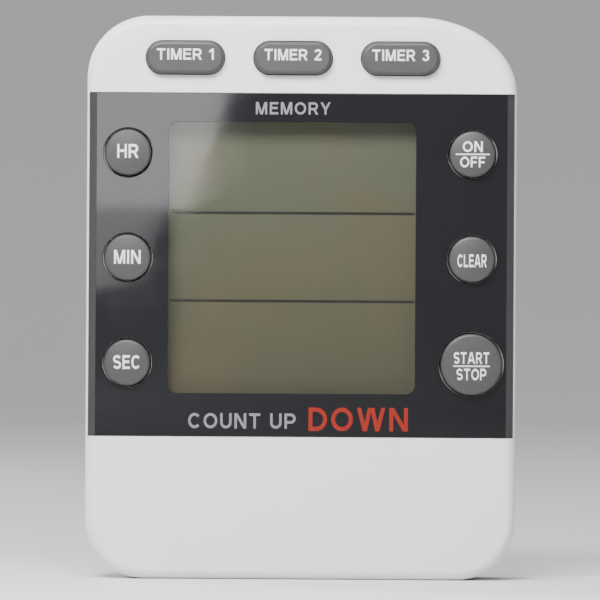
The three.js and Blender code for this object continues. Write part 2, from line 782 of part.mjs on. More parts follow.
// Sound slots whose ends lie on a circle.
function grilleSlots() {
  const slots = [];
  for (let index = 0; index < GRILLE.slots; index += 1) {
    const offset = (index - (GRILLE.slots - 1) / 2) * GRILLE.pitch;
    const length = 2 * Math.sqrt(GRILLE.radius ** 2 - offset ** 2);
    slots.push(slab(stadium([0, piezoZ + offset], length, GRILLE.slotWidth), backInside - 1, BODY.depth + 1));
  }
  return slots;
}

function rearPosts() {
  const front = PARTING.depth - POST.rearGap;
  const radius = POST.recess + POST.recessWall;
  return Object.values(housingScrews).map((at) => rod(at, radius, front, intoBackWall, 14));
}

function rearScrewHoles() {
  return Object.values(housingScrews).flatMap((at) => [
    rod(at, SCREW.shaft + FIT.free, 0, BODY.depth + 1, 10),
    rod(at, POST.recess, screwSeat, BODY.depth + 1, 16),
  ]);
}

function rearShell() {
  const outer = slab(bodyOutline(0), 0, BODY.depth, EDGE.back);
  const inFront = block([-BODY.width, BODY.width], [-1, PARTING.depth + PARTING.gap], [-1, BODY.height + 1]);
  const cavity = slab(bodyOutline(WALL), -1, backInside);
  return cut(outer, inFront, cavity);
}

function lipTongue() {
  const depth = [PARTING.depth - PARTING.lipHeight, PARTING.depth + 1];
  const outer = slab(bodyOutline(WALL - PARTING.lipThickness), ...depth);
  const inner = slab(bodyOutline(WALL), depth[0] - 1, depth[1] + 1);
  return cut(outer, inner);
}

function rearHousing() {
  const additions = [
    lipTongue(),
    ...standBacking(),
    doorSeat(),
    batteryBox(),
    ...magnetPocketBacking(),
    piezoRing(),
    ...rearPosts(),
  ];
  const removals = [
    ...doorCuts(),
    ...standCuts(),
    ...magnetPockets(),
    ...grilleSlots(),
    ...rearScrewHoles(),
  ];
  return cut(join(rearShell(), ...additions), ...removals);
}

// ------------------------------------------------------------------ battery, its contacts and its door

const batteryEnd = compartment.halfLength - CONTACT.thickness - 2 * FIT.seat;

function battery() {
  const length = BATTERY.length - BATTERY.nub;
  const geometry = new THREE.LatheGeometry(
    [
      [0, 0.3],
      [3.2, 0.3],
      [3.2, 0],
      [BATTERY.radius - 0.3, 0],
      [BATTERY.radius, 0.4],
      [BATTERY.radius, length - 0.4],
      [BATTERY.radius - 0.4, length],
      [BATTERY.nubRadius, length],
      [BATTERY.nubRadius, BATTERY.length],
      [0, BATTERY.length],
    ].map(([radius, along]) => new THREE.Vector2(radius, along)),
    20,
  );
  geometry.rotateZ(-Math.PI / 2);
  geometry.translate(batteryEnd - BATTERY.length, batteryDepth, BATTERY.height);
  return solid(geometry);
}

const tabTop = compartment.top + COMPARTMENT.wall + CONTACT.tabRise;

// A plate against the end wall, with a solder tab that reaches up through the slot.
function contactPlate(side) {
  const x = [compartment.halfLength - FIT.seat - CONTACT.thickness, compartment.halfLength - FIT.seat];
  const placed = side > 0 ? x : [-x[1], -x[0]];
  const depth = [batteryDepth - CONTACT.width / 2, batteryDepth + CONTACT.width / 2];
  const plate = block(placed, depth, [compartment.bottom + FIT.key, compartment.top - FIT.key]);
  const tabDepth = [batteryDepth - CONTACT.tab / 2, batteryDepth + CONTACT.tab / 2];
  const tab = block(placed, tabDepth, [compartment.top - 1, tabTop]);
  return join(plate, tab);
}

class SpringLine extends THREE.Curve {
  getPoint(t, target = new THREE.Vector3()) {
    const angle = t * SPRING.turns * 2 * Math.PI;
    const radius = THREE.MathUtils.lerp(SPRING.wide, SPRING.narrow, t);
    const length = SPRING.length - 2 * SPRING.wireRadius - 2 * FIT.seat;
    return target.set(t * length, radius * Math.cos(angle), radius * Math.sin(angle));
  }
}

function circleShape(radius, sides) {
  const points = [];
  for (let step = 0; step < sides; step += 1) {
    const angle = (step / sides) * 2 * Math.PI;
    points.push(new THREE.Vector2(radius * Math.cos(angle), radius * Math.sin(angle)));
  }
  return new THREE.Shape(points);
}

function batterySpring() {
  const geometry = new THREE.ExtrudeGeometry(circleShape(SPRING.wireRadius, 5), {
    steps: 42,
    bevelEnabled: false,
    extrudePath: new SpringLine(),
  });
  const start = -compartment.halfLength + 2 * FIT.seat + CONTACT.thickness + SPRING.wireRadius;
  geometry.translate(start, batteryDepth, BATTERY.height);
  return solid(geometry);
}

// The door turns on two pins in its rounded top edge and has a finger tab at the bottom.
function batteryDoor() {
  const radius = DOOR.thickness / 2;
  const section = [
    [doorInside, door.bottom],
    [doorOutside, door.bottom],
  ];
  for (let step = 0; step <= 8; step += 1) {
    const angle = (step / 8) * Math.PI;
    section.push([door.axisDepth + radius * Math.cos(angle), door.axisZ + radius * Math.sin(angle)]);
  }
  const plate = carriedAlongX(section, -door.halfWidth, door.halfWidth);
  const reach = door.halfWidth + DOOR.pinLength;
  const pins = crossRod(-reach, reach, door.axisDepth, door.axisZ, DOOR.pin, 12);
  const tabDepth = [doorInside, doorOutside - 0.4];
  const tabX = [-DOOR.tabWidth / 2, DOOR.tabWidth / 2];
  const tab = block(tabX, tabDepth, [door.bottom - DOOR.tabHeight, door.bottom + SINK]);
  return join(plate, pins, tab);
}

// ------------------------------------------------------------------ stand

function stand() {
  const frame = slab(standOutline(0, standTop), standInside, standOutside);
  const reach = legOuter + STAND.pinLength;
  const pins = [
    crossRod(legOuter - 1, reach, standAxisDepth, STAND.pivotHeight, STAND.pin, 12),
    crossRod(-reach, -legOuter + 1, standAxisDepth, STAND.pivotHeight, STAND.pin, 12),
  ];
  return join(frame, ...pins);
}

// ------------------------------------------------------------------ screws

function screw({ shaft, head, headHeight, tip, slot, sides }, seat) {
  const body = turned(
    [
      [0, tip],
      [shaft * 0.5, tip],
      [shaft, tip + shaft],
      [shaft, seat + FIT.layer],
      [head, seat + FIT.layer],
      [head, seat + headHeight * 0.5],
      [head * 0.75, seat + headHeight],
      [0, seat + headHeight],
    ],
    sides,
  );
  const depth = [seat + headHeight * 0.45, seat + headHeight + 1];
  const [long, narrow] = [[-head * 0.6, head * 0.6], [-slot, slot]];
  return cut(body, block(long, depth, narrow), block(narrow, depth, long));
}

// ------------------------------------------------------------------ wires

function wire(points) {
  const extrudePath = new THREE.CatmullRomCurve3(points.map((point) => new THREE.Vector3(...point)));
  const options = { steps: 12, bevelEnabled: false, extrudePath };
  return solid(new THREE.ExtrudeGeometry(circleShape(WIRE_RADIUS, 6), options));
}

// The battery leads run from the solder tabs up to the back of the board, both to the right of a screw.
function batteryLead(side) {
  const x = side * (compartment.halfLength - FIT.seat - CONTACT.thickness / 2);
  return wire([
    [x, batteryDepth, tabTop + FIT.free],
    [x + 0.8, batteryDepth + 0.4, tabTop + 1.8],
    [x + 4.0, batteryDepth, tabTop + 4.2],
    [x + 6.6, pcbBack + FIT.free + 0.8, tabTop + 6.4],
    [x + 7.6, pcbBack + FIT.free, tabTop + 7.0],
  ]);
}

// The sounder leads run from the disc down to the back of the board.
function sounderLead(x, discRadius, drop) {
  const front = piezoBack - PIEZO.plate - PIEZO.ceramic - FIT.layer - FIT.free;
  return wire([
    [x, front, piezoZ - discRadius],
    [x, front - 1.0, piezoZ - discRadius - 0.8],
    [x - 0.6, front - 2.2, piezoZ - discRadius - drop * 0.45],
    [x - 0.8, pcbBack + 1.6, piezoZ - discRadius - drop * 0.85],
    [x - 0.8, pcbBack + FIT.free, piezoZ - discRadius - drop],
  ]);
}

// ------------------------------------------------------------------ assembly

const COLOURS = {
  white: { color: 0xe4e4e2, roughness: 0.28 },
  clear: { color: 0x2e3034, roughness: 0.06 },
  adhesive: { color: 0xd8d2c4, roughness: 0.8 },
  key: { color: 0x77787a, roughness: 0.55 },
  rubber: { color: 0xb9bab6, roughness: 0.8 },
  glass: { color: 0x7c8071, roughness: 0.1 },
  reflector: { color: 0xa5a893, roughness: 0.35 },
  zebra: { color: 0xc9b9a0, roughness: 0.7 },
  board: { color: 0x2f6b3c, roughness: 0.5 },
  epoxy: { color: 0x121212, roughness: 0.3 },
  steel: { color: 0xb8babd, roughness: 0.3, metalness: 1 },
  brass: { color: 0xc9a24b, roughness: 0.3, metalness: 1 },
  ceramic: { color: 0xdcdcd6, roughness: 0.5 },
  battery: { color: 0x2b3a55, roughness: 0.35 },
  red: { color: 0xb0281e, roughness: 0.5 },
  black: { color: 0x181818, roughness: 0.5 },
  magnet: { color: 0x4a4a4c, roughness: 0.45, metalness: 0.6 },
};

const timer = new THREE.Group();
timer.position.y = (KEY.proud - BODY.depth) / 2;

function add(name, manifold, colour, [x, y, z] = [0, 0, 0]) {
  const mesh = new THREE.Mesh(geometryOf(manifold), new THREE.MeshStandardMaterial(COLOURS[colour]));
  mesh.name = name;
  mesh.position.set(x, y, z);
  timer.add(mesh);
}

add('front_housing', frontHousing(), 'white');
add('rear_housing', rearHousing(), 'white');
add('lens_panel', lensPanel(), 'clear');
add('lens_adhesive', lensAdhesive(), 'adhesive');

const polariserArea = {
  ...shortGlass,
  left: glass.left + LCD.polariserInset,
  right: glass.right - LCD.polariserInset,
};
add('lcd_polariser', sheetIn(polariserArea, polariserFront, LCD.polariser), 'glass');
add('lcd_front_glass', sheetIn(glass, frontGlassFront, LCD.glass), 'glass');
add('lcd_rear_glass', sheetIn(shortGlass, rearGlassFront, LCD.glass), 'glass');
add('lcd_reflector', sheetIn(shortGlass, reflectorFront, LCD.reflector), 'reflector');
add('zebra_strip_top', zebra(glass.top - LCD.ledge / 2), 'zebra');
add('zebra_strip_bottom', zebra(glass.bottom + LCD.ledge / 2), 'zebra');

for (const key of keys) {
  const place = [key.at[0], 0, key.at[1]];
  add(`key_${key.name}`, key.oblong ? oblongKey() : roundKey(key.radius), 'key', place);
  add(`dome_${key.name}`, dome(), 'rubber', place);
}
add('keypad_mat', keypadMat(), 'rubber');

add('main_board', mainBoard(), 'board');
const onBoard = pcbBack + FIT.layer;
const glassCentreZ = (glass.top + glass.bottom) / 2;
add('chip_blob', chipBlob(), 'epoxy', [windowCentreX, onBoard, glassCentreZ]);
add('crystal', crystal(), 'steel', [windowCentreX + CRYSTAL.right, onBoard, glassCentreZ + CRYSTAL.up]);
const capacitorPlace = [windowCentreX - CAPACITOR.left, onBoard, glass.bottom + CAPACITOR.aboveGlass];
add('capacitor', capacitor(), 'black', capacitorPlace);

add('sounder_plate', rod([0, piezoZ], PIEZO.radius, piezoBack - PIEZO.plate, piezoBack, 24), 'brass');
const ceramicBack = piezoBack - PIEZO.plate - FIT.layer;
const ceramicFront = ceramicBack - PIEZO.ceramic;
add('sounder_ceramic', rod([0, piezoZ], PIEZO.ceramicRadius, ceramicFront, ceramicBack, 24), 'ceramic');

add('battery', battery(), 'battery');
add('contact_spring', batterySpring(), 'steel');
add('contact_plate_minus', contactPlate(-1), 'steel');
add('contact_plate_plus', contactPlate(1), 'steel');
add('lead_minus', batteryLead(-1), 'black');
add('lead_plus', batteryLead(1), 'red');
add('sounder_lead_plate', sounderLead(-1.5, PIEZO.radius - 1.6, 7), 'black');
add('sounder_lead_ceramic', sounderLead(2.5, PIEZO.ceramicRadius - 2.4, 10), 'red');

add('battery_door', batteryDoor(), 'white');
add('stand', stand(), 'white');
for (const [side, name] of [[-1, 'left'], [1, 'right']]) {
  const disc = rod([0, 0], MAGNET.radius, BODY.depth - MAGNET.thickness, BODY.depth, 24);
  add(`magnet_${name}`, disc, 'magnet', [side * MAGNET.centreX, 0, magnetZ]);
}
for (const [name, [x, z]] of Object.entries(housingScrews)) {
  add(`housing_screw_${name}`, screw(SCREW, screwSeat), 'steel', [x, 0, z]);
}
for (const [name, [x, z]] of Object.entries(boardScrews)) {
  add(`board_screw_${name}`, screw(BOARD_SCREW, pcbBack), 'steel', [x, 0, z]);
}

export default timer;
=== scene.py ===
import json
import math

import bmesh
import bpy
from mathutils import Matrix, Vector

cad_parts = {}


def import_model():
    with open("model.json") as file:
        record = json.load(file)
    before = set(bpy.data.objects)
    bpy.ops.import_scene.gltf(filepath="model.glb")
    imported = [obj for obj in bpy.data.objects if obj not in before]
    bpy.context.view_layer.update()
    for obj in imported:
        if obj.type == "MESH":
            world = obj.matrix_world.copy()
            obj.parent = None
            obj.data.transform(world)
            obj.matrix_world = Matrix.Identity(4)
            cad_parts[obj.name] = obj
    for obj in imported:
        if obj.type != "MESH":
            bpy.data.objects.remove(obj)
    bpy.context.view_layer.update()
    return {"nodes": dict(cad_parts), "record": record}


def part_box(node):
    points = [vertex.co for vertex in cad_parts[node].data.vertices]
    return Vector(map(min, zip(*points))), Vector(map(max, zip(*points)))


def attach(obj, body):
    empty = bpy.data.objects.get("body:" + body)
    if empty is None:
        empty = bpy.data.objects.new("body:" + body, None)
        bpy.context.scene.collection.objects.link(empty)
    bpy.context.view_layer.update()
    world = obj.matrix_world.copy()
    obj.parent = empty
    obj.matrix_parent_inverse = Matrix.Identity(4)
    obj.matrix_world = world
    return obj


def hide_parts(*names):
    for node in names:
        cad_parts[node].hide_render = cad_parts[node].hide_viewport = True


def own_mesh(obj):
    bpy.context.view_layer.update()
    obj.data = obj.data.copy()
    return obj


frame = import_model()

# Shapes are made in millimetres. Their depths are counted back from the housing's front plane.
MM = 0.001


def span(node):
    """Lowest and highest corner of a CAD node, in millimetres."""
    low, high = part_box(node)
    return low / MM, high / MM


HOUSING_LOW, HOUSING_HIGH = span("front_housing")
FRONT = HOUSING_LOW.y
WIDTH = HOUSING_HIGH.x - HOUSING_LOW.x
HEIGHT = HOUSING_HIGH.z - HOUSING_LOW.z
THICKNESS = 18.0


def depth_span(node):
    """How far behind the front plane a CAD node starts and ends."""
    low, high = span(node)
    return low.y - FRONT, high.y - FRONT


def middle(node):
    """Centre of a CAD node, across and up."""
    low, high = span(node)
    return (low.x + high.x) / 2, (low.z + high.z) / 2


# ---------- finishes


class Value:
    """A node's output, which can be used in sums with numbers and other outputs."""

    def __init__(self, finish, output):
        self.finish = finish
        self.output = output

    def sum(self, operation, first, second):
        return self.finish.node("ShaderNodeMath", {"operation": operation}, {0: first, 1: second})

    def __add__(self, other):
        return self.sum("ADD", self, other)

    def __sub__(self, other):
        return self.sum("SUBTRACT", self, other)

    def __rsub__(self, other):
        return self.sum("SUBTRACT", other, self)

    def __mul__(self, other):
        return self.sum("MULTIPLY", self, other)

    def __pow__(self, other):
        return self.sum("POWER", self, other)

    def __gt__(self, other):
        return self.sum("GREATER_THAN", self, other)

    __radd__ = __add__
    __rmul__ = __mul__


class Finish:
    """One material in the making. Every node comes from node()."""

    def __init__(self, name):
        self.material = bpy.data.materials.new(name)
        self.material.use_nodes = True
        self.tree = self.material.node_tree
        self.tree.nodes.clear()
        self.place = self.node("ShaderNodeTexCoord", output="Object")

    def node(self, kind, settings=None, values=None, output=0):
        node = self.tree.nodes.new(kind)
        for name, setting in (settings or {}).items():
            if name == "stops":
                self.set_stops(node.color_ramp, setting)
            else:
                setattr(node, name, setting)
        for socket, value in (values or {}).items():
            if isinstance(value, Value):
                self.tree.links.new(value.output, node.inputs[socket])
            else:
                node.inputs[socket].default_value = value
        return Value(self, node.outputs[output]) if node.outputs else None

    def set_stops(self, ramp, stops):
        while len(ramp.elements) < len(stops):
            ramp.elements.new(0.5)
        for element, (position, colour) in zip(ramp.elements, stops):
            element.position = position
            element.color = rgba(colour)

    def noise(self, size, detail=2.0, roughness=0.5, place=None):
        """Noise whose blots are about size millimetres across."""
        values = {"Vector": place or self.place, "Scale": 1 / (size * MM)}
        return self.node("ShaderNodeTexNoise", {}, {**values, "Detail": detail, "Roughness": roughness})

    def cells(self, size, place=None):
        """Distance from scattered points that are about size millimetres apart."""
        values = {"Vector": place or self.place, "Scale": 1 / (size * MM)}
        return self.node("ShaderNodeTexVoronoi", {"feature": "F1"}, values, "Distance")

    def ramp(self, value, stops):
        return self.node("ShaderNodeValToRGB", {"stops": stops}, {"Fac": value})

    def between(self, value, low, high, start=0.0, end=1.0):
        """A value carried from low..high to start..end, and held at the ends."""
        values = {"Value": value, "From Min": low, "From Max": high, "To Min": start, "To Max": end}
        return self.node("ShaderNodeMapRange", {"clamp": True, "interpolation_type": "SMOOTHSTEP"}, values)

    def blend(self, first, second, amount):
        """Two colours mixed."""
        values = {0: amount, 6: colour_of(first), 7: colour_of(second)}
        return self.node("ShaderNodeMix", {"data_type": "RGBA"}, values, 2)

    def stretched(self, scale, turn=(0, 0, 0)):
        """The place on the piece, scaled and turned for a pattern that runs one way."""
        return self.node("ShaderNodeMapping", {}, {"Vector": self.place, "Scale": scale, "Rotation": turn})

    def axis(self, name):
        """Position along one axis, in metres."""
        return self.node("ShaderNodeSeparateXYZ", {}, {0: self.place}, name)

    def raised(self, height, millimetres):
        """A bumpy surface normal, from a height of 0 to 1."""
        values = {"Height": height, "Distance": millimetres * MM, "Strength": 1.0}
        return self.node("ShaderNodeBump", {}, values)

    def surface(self, shader):
        self.node("ShaderNodeOutputMaterial", {}, {"Surface": shader})
        return self.material

    def coated(self, **values):
        """Finishes the material with a Principled surface."""
        named = {key.replace("_", " "): value for key, value in values.items()}
        return self.surface(self.node("ShaderNodeBsdfPrincipled", {}, named))


def linear(channel):
    """A display colour channel of 0 to 255 as light."""
    share = channel / 255
    return share / 12.92 if share <= 0.04045 else ((share + 0.055) / 1.055) ** 2.4


def rgba(colour):
    """A display colour as light, with nothing of it clear."""
    return (*(linear(channel) for channel in colour[:3]), 1.0)


def colour_of(value):
    return value if isinstance(value, Value) else rgba(value)


def shade(colour, by):
    """A colour made lighter or darker."""
    return tuple(max(0, min(255, channel * by)) for channel in colour)


def moulded(name, colour, grain=0.25, depth=0.006, rough=(0.38, 0.5), spots=0.5, mottle=0.04):
    """Moulded plastic or rubber: faint blotches, fine texture, dust specks and rubbed patches."""
    finish = Finish(name)
    clouds = finish.noise(14, 3)
    fine = finish.noise(grain, 3, 0.6)
    base = finish.blend(shade(colour, 1 - mottle), shade(colour, 1 + mottle), clouds)
    base = finish.blend(base, shade(colour, 0.86), finish.between(fine, 0.45, 0.8, 0, 0.35))
    specks = finish.between(finish.cells(2.6), 0.0, 0.055, 1, 0)
    chosen = finish.noise(5.0, 0) > 0.56
    base = finish.blend(base, shade(colour, 0.55), specks * chosen * spots)
    rubbed = finish.between(finish.noise(22, 4, 0.65), 0.42, 0.62)
    rough_now = finish.between(rubbed, 0, 1, rough[0], rough[1]) + (fine - 0.5) * 0.08
    waves = finish.noise(grain * 9, 2)
    bumps = finish.raised(fine * 0.6 + waves * 0.9, depth)
    return finish.coated(Base_Color=base, Roughness=rough_now, Normal=bumps)


TARNISH = (90, 84, 74)


def metal(name, colour, brushed, rough=(0.22, 0.4)):
    """Plated or drawn metal with fine lines, small scratches and dull patches."""
    finish = Finish(name)
    lines = finish.noise(0.35, 4, 0.7, finish.stretched(brushed))
    patches = finish.between(finish.noise(3.2, 4, 0.6), 0.48, 0.68)
    base = finish.blend(shade(colour, 0.93), shade(colour, 1.05), lines)
    base = finish.blend(base, TARNISH, patches * 0.28)
    rough_now = finish.between(lines, 0.2, 0.8, *rough) + patches * 0.15
    bumps = finish.raised(lines, 0.004)
    return finish.coated(Base_Color=base, Metallic=1.0, Roughness=rough_now, Normal=bumps)


def ink(name, colour, rough=0.5):
    """Printed ink: an even colour with pinholes and slightly thin places."""
    finish = Finish(name)
    thin = finish.between(finish.noise(0.22, 3, 0.6), 0.55, 0.75)
    broad = finish.noise(2.5, 2)
    base = finish.blend(colour, shade(colour, 0.8), thin * 0.25)
    base = finish.blend(base, shade(colour, 0.93), broad)
    return finish.coated(
        Base_Color=base,
        Roughness=finish.between(broad, 0, 1, rough - 0.06, rough + 0.06),
        Specular_IOR_Level=0.25,
        Normal=finish.raised(thin, 0.002),
    )


def dark_gloss():
    """The lens where it is printed dark on its back: deep grey with a hint of blue under a polished face."""
    finish = Finish("dark_printed_lens")
    mesh = finish.noise(0.16, 2, 0.6)
    broad = finish.noise(30, 2)
    base = finish.blend((19, 19, 23), (25, 25, 29), broad)
    base = finish.blend(base, (14, 14, 17), finish.between(mesh, 0.5, 0.75, 0, 0.4))
    return finish.coated(Base_Color=base, Roughness=polish(finish), Normal=gentle_waves(finish))


def gentle_waves(finish):
    """The slight unevenness of a large polished face."""
    return finish.raised(finish.noise(24, 1), 0.008)


def smeared(finish):
    """Broad cloudy marks, drawn out sideways."""
    return finish.noise(16, 4, 0.6, finish.stretched((1, 1, 1.6)))


def polish(finish):
    """How rough a polished face is: smeared by fingers, with a few hairline scratches."""
    smears = finish.between(smeared(finish), 0.42, 0.72)
    scratches = finish.noise(0.5, 2, 0.5, finish.stretched((14, 1, 1), (0, 0.5, 0)))
    hair = finish.between(scratches, 0.68, 0.74)
    return finish.between(smears, 0, 1, 0.03, 0.055) + hair * 0.04


def clear_lens():
    """Clear acrylic: it lets light through and mirrors more at a flat angle."""
    finish = Finish("clear_acrylic")
    smears = smeared(finish)
    clear = finish.node("ShaderNodeBsdfTransparent", {}, {"Color": rgba((246, 247, 247))})
    values = {"Color": rgba((255, 255, 255)), "Roughness": polish(finish), "Normal": gentle_waves(finish)}
    mirror = finish.node("ShaderNodeBsdfAnisotropic", {}, values)
    flat_angle = finish.node("ShaderNodeLayerWeight", {}, {"Blend": 0.5}, "Facing")
    amount = flat_angle**5 * 0.9 + smears * 0.006 + 0.04
    both = finish.node("ShaderNodeMixShader", {}, {0: amount, 1: clear, 2: mirror})
    return finish.surface(both)


def clear_back():
    """The lens's bonded back, which lets light through under a trace of haze."""
    finish = Finish("clear_acrylic_back")
    clear = finish.node("ShaderNodeBsdfTransparent", {}, {"Color": rgba((249, 250, 250))})
    haze = finish.node("ShaderNodeBsdfDiffuse", {}, {"Color": rgba((150, 150, 150)), "Roughness": 0.5})
    amount = finish.between(finish.noise(18, 2), 0.3, 0.7, 0.0, 0.008)
    return finish.surface(finish.node("ShaderNodeMixShader", {}, {0: amount, 1: clear, 2: haze}))


def display_film():
    """The unlit display: olive grey with a green cast, in fine grain, with painted light that makes it
    lighter towards the top.
    """
    finish = Finish("display_film")
    low, high = span("lcd_polariser")
    up = finish.between(finish.axis("Z"), low.z * MM, high.z * MM)
    clouds = finish.noise(26, 2, 0.5)
    # painted light: the ramp runs from darker at the bottom to lighter at the top, as if lit from above
    base = finish.ramp(up, [(0.0, (72, 70, 52)), (0.5, (78, 78, 60)), (1.0, (81, 83, 67))])
    base = finish.blend(base, (88, 74, 56), finish.between(clouds, 0.48, 0.7, 0, 0.5))
    grain = finish.noise(0.12, 2, 0.6)
    base = finish.blend(base, (68, 68, 52), finish.between(grain, 0.45, 0.75, 0, 0.2))
    return finish.coated(
        Base_Color=base,
        Roughness=finish.between(clouds, 0.3, 0.7, 0.34, 0.4),
        Specular_IOR_Level=0.15,
        Normal=finish.raised(grain, 0.0006),
    )


def display_glass():
    """Thin glass with a green cast, half seen through."""
    finish = Finish("display_glass")
    cast = finish.noise(8, 2)
    return finish.coated(
        Base_Color=finish.blend((128, 140, 128), (148, 158, 146), cast),
        Roughness=finish.between(cast, 0, 1, 0.08, 0.14),
        Alpha=0.55,
    )


def circuit_board():
    """Green solder mask over copper tracks, with small round pads."""
    finish = Finish("circuit_board")
    flat = finish.stretched((1, 0, 1))
    layout = {"Scale": 260.0, "Mortar Size": 0.035, "Brick Width": 0.9, "Row Height": 0.35}
    layout["Vector"] = finish.stretched((1, 1, 1), (math.pi / 2, 0, 0))
    tracks = finish.node("ShaderNodeTexBrick", {"offset": 0.37, "squash": 1.0}, layout, "Fac")
    pads = finish.between(finish.cells(3.2, place=flat), 0.1, 0.13, 1, 0)
    cloth = finish.noise(0.3, 2)
    base = finish.blend((38, 84, 50), (46, 96, 58), cloth)
    base = finish.blend(base, (66, 120, 70), tracks)
    base = finish.blend(base, (186, 180, 160), pads)
    return finish.coated(
        Base_Color=base,
        Metallic=pads * 0.8,
        Roughness=finish.between(cloth, 0, 1, 0.36, 0.5) - pads * 0.1,
        Normal=finish.raised(tracks + pads, 0.02),
    )


def battery_jacket():
    """A shrunk jacket in two plain colours, with a bright band at the button end."""
    finish = Finish("battery_jacket")
    low, high = span("battery")
    along = finish.between(finish.axis("X"), low.x * MM, high.x * MM)
    steel = (along > 0.982) + (1 - (along > 0.006))
    gold = along > 0.72
    line = (along > 0.695) * (1 - (along > 0.72))
    creases = finish.noise(1.2, 3, 0.6, finish.stretched((1, 3, 3)))
    base = finish.blend((30, 31, 34), (196, 138, 66), gold)
    base = finish.blend(base, (226, 226, 222), line)
    base = finish.blend(base, (186, 186, 184), steel)
    # painted shade: the jacket's colour is also darkened along the creases, as shade in their folds
    base = finish.blend(base, (20, 20, 22), finish.between(creases, 0.6, 0.8, 0, 0.2))
    return finish.coated(
        Base_Color=base,
        Metallic=gold * 0.55 + steel * 0.4,
        Roughness=finish.between(creases, 0, 1, 0.24, 0.38),
        Normal=finish.raised(creases, 0.02),
    )


WHITE = (229, 229, 227)
GREY = (58, 58, 58)

finishes = {
    "white_housing": moulded("white_plastic", WHITE, 0.3, 0.006, (0.36, 0.46), 0.3, 0.012),
    "grey_key": moulded("grey_key_plastic", GREY, 0.18, 0.012, (0.42, 0.54), 0.35, 0.03),
    "dark_lens": clear_lens(),
    "display_film": display_film(),
    "display_glass": display_glass(),
    "adhesive_film": moulded("adhesive_film", (206, 204, 192), 0.4, 0.01, (0.3, 0.4), 0.2),
    "contact_rubber": moulded("contact_rubber", (62, 62, 66), 0.3, 0.02, (0.6, 0.75)),
    "keypad_rubber": moulded("keypad_rubber", (172, 174, 170), 0.3, 0.02, (0.6, 0.72)),
    "circuit_board": circuit_board(),
    "black_epoxy": moulded("black_epoxy", (26, 26, 28), 0.6, 0.03, (0.22, 0.34)),
    "plated_steel": metal("plated_steel", (198, 198, 196), (0.2, 1, 1)),
    "sounder_brass": metal("sounder_brass", (204, 172, 102), (1, 1, 0.2)),
    "sounder_ceramic": moulded("sounder_ceramic", (214, 213, 206), 0.5, 0.01, (0.5, 0.62)),
    "battery_jacket": battery_jacket(),
    "black_insulation": moulded("black_insulation", (28, 28, 30), 0.5, 0.01, (0.4, 0.5)),
    "red_insulation": moulded("red_insulation", (166, 38, 30), 0.5, 0.01, (0.4, 0.5)),
    "magnet": metal("nickel_plate", (186, 186, 188), (1, 0.3, 1), (0.2, 0.34)),
}
print_dark = dark_gloss()
ink_white = ink("ink_white", (236, 236, 234), 0.42)
ink_pale = ink("ink_pale", (120, 121, 123))
ink_red = ink("ink_red", (134, 28, 13))
ink_black = ink("ink_black", (10, 10, 10))
foam_black = moulded("foam_black", (20, 20, 21), 0.35, 0.05, (0.75, 0.9), 0.2, 0.08)
frosted = moulded("frosted_edge", (52, 52, 52), 0.2, 0.01, (0.34, 0.44), 0.2, 0.05)

for part in frame["record"]["subparts"]:
    materials = frame["nodes"][part["node"]].data.materials
    materials.clear()
    materials.append(finishes[part["material_slot"]])

# ---------- shapes

MERGE = 0.0005
ON_PLANE = 0.001
SHARP_ANGLE = math.radians(32)


def placed(name, bm):
    """An object of its own from a mesh in the making."""
    mesh = bpy.data.meshes.new(name)
    bm.to_mesh(mesh)
    bm.free()
    made = bpy.data.objects.new(name, mesh)
    bpy.context.scene.collection.objects.link(made)
    return made


def sheet(corners):
    """One flat face."""
    bm = bmesh.new()
    bm.faces.new([bm.verts.new(corner) for corner in corners])
    return bm


def line(points):
    """Edges that join points one after another."""
    bm = bmesh.new()
    ends = [bm.verts.new(point) for point in points]
    for first, second in zip(ends, ends[1:]):
        bm.edges.new((first, second))
    return bm


def moved(bm, at):
    bmesh.ops.translate(bm, vec=at, verts=bm.verts)
    return bm


def block(x, depth, z):
    """A box between two places across, two depths and two heights."""
    bm = bmesh.new()
    bmesh.ops.create_cube(bm, size=1)
    bmesh.ops.scale(bm, vec=(x[1] - x[0], depth[1] - depth[0], z[1] - z[0]), verts=bm.verts)
    return moved(bm, (sum(x) / 2, FRONT + sum(depth) / 2, sum(z) / 2))


def centred(half, depth, z):
    """A box whose middle is the object's middle plane."""
    return block((-half, half), depth, z)


def mirrored(inner, outer, depth, z):
    """Two boxes, one on each side of the middle plane."""
    return [block(sorted((side * inner, side * outer)), depth, z) for side in (-1, 1)]


def cylinder(radius, length, place, steps):
    bm = bmesh.new()
    size = {"radius1": radius, "radius2": radius, "depth": length}
    bmesh.ops.create_cone(bm, cap_ends=True, segments=steps, matrix=place, **size)
    return bm


def rod(at, radius, depth, steps):
    """A cylinder from front to back."""
    place = Matrix.Translation((at[0], FRONT + sum(depth) / 2, at[1]))
    return cylinder(radius, depth[1] - depth[0], place @ Matrix.Rotation(math.pi / 2, 4, "X"), steps)


def cross_rod(x, depth, z, radius, steps=32):
    """A cylinder from left to right."""
    place = Matrix.Translation((sum(x) / 2, FRONT + depth, z))
    return cylinder(radius, x[1] - x[0], place @ Matrix.Rotation(math.pi / 2, 4, "Y"), steps)


def thickened(bm, by):
    """A flat sheet carried backwards into a solid."""
    made = bmesh.ops.extrude_face_region(bm, geom=bm.faces[:])["geom"]
    corners = [v for v in made if isinstance(v, bmesh.types.BMVert)]
    bmesh.ops.translate(bm, vec=(0, by, 0), verts=corners)
    bmesh.ops.recalc_face_normals(bm, faces=bm.faces)
    return bm


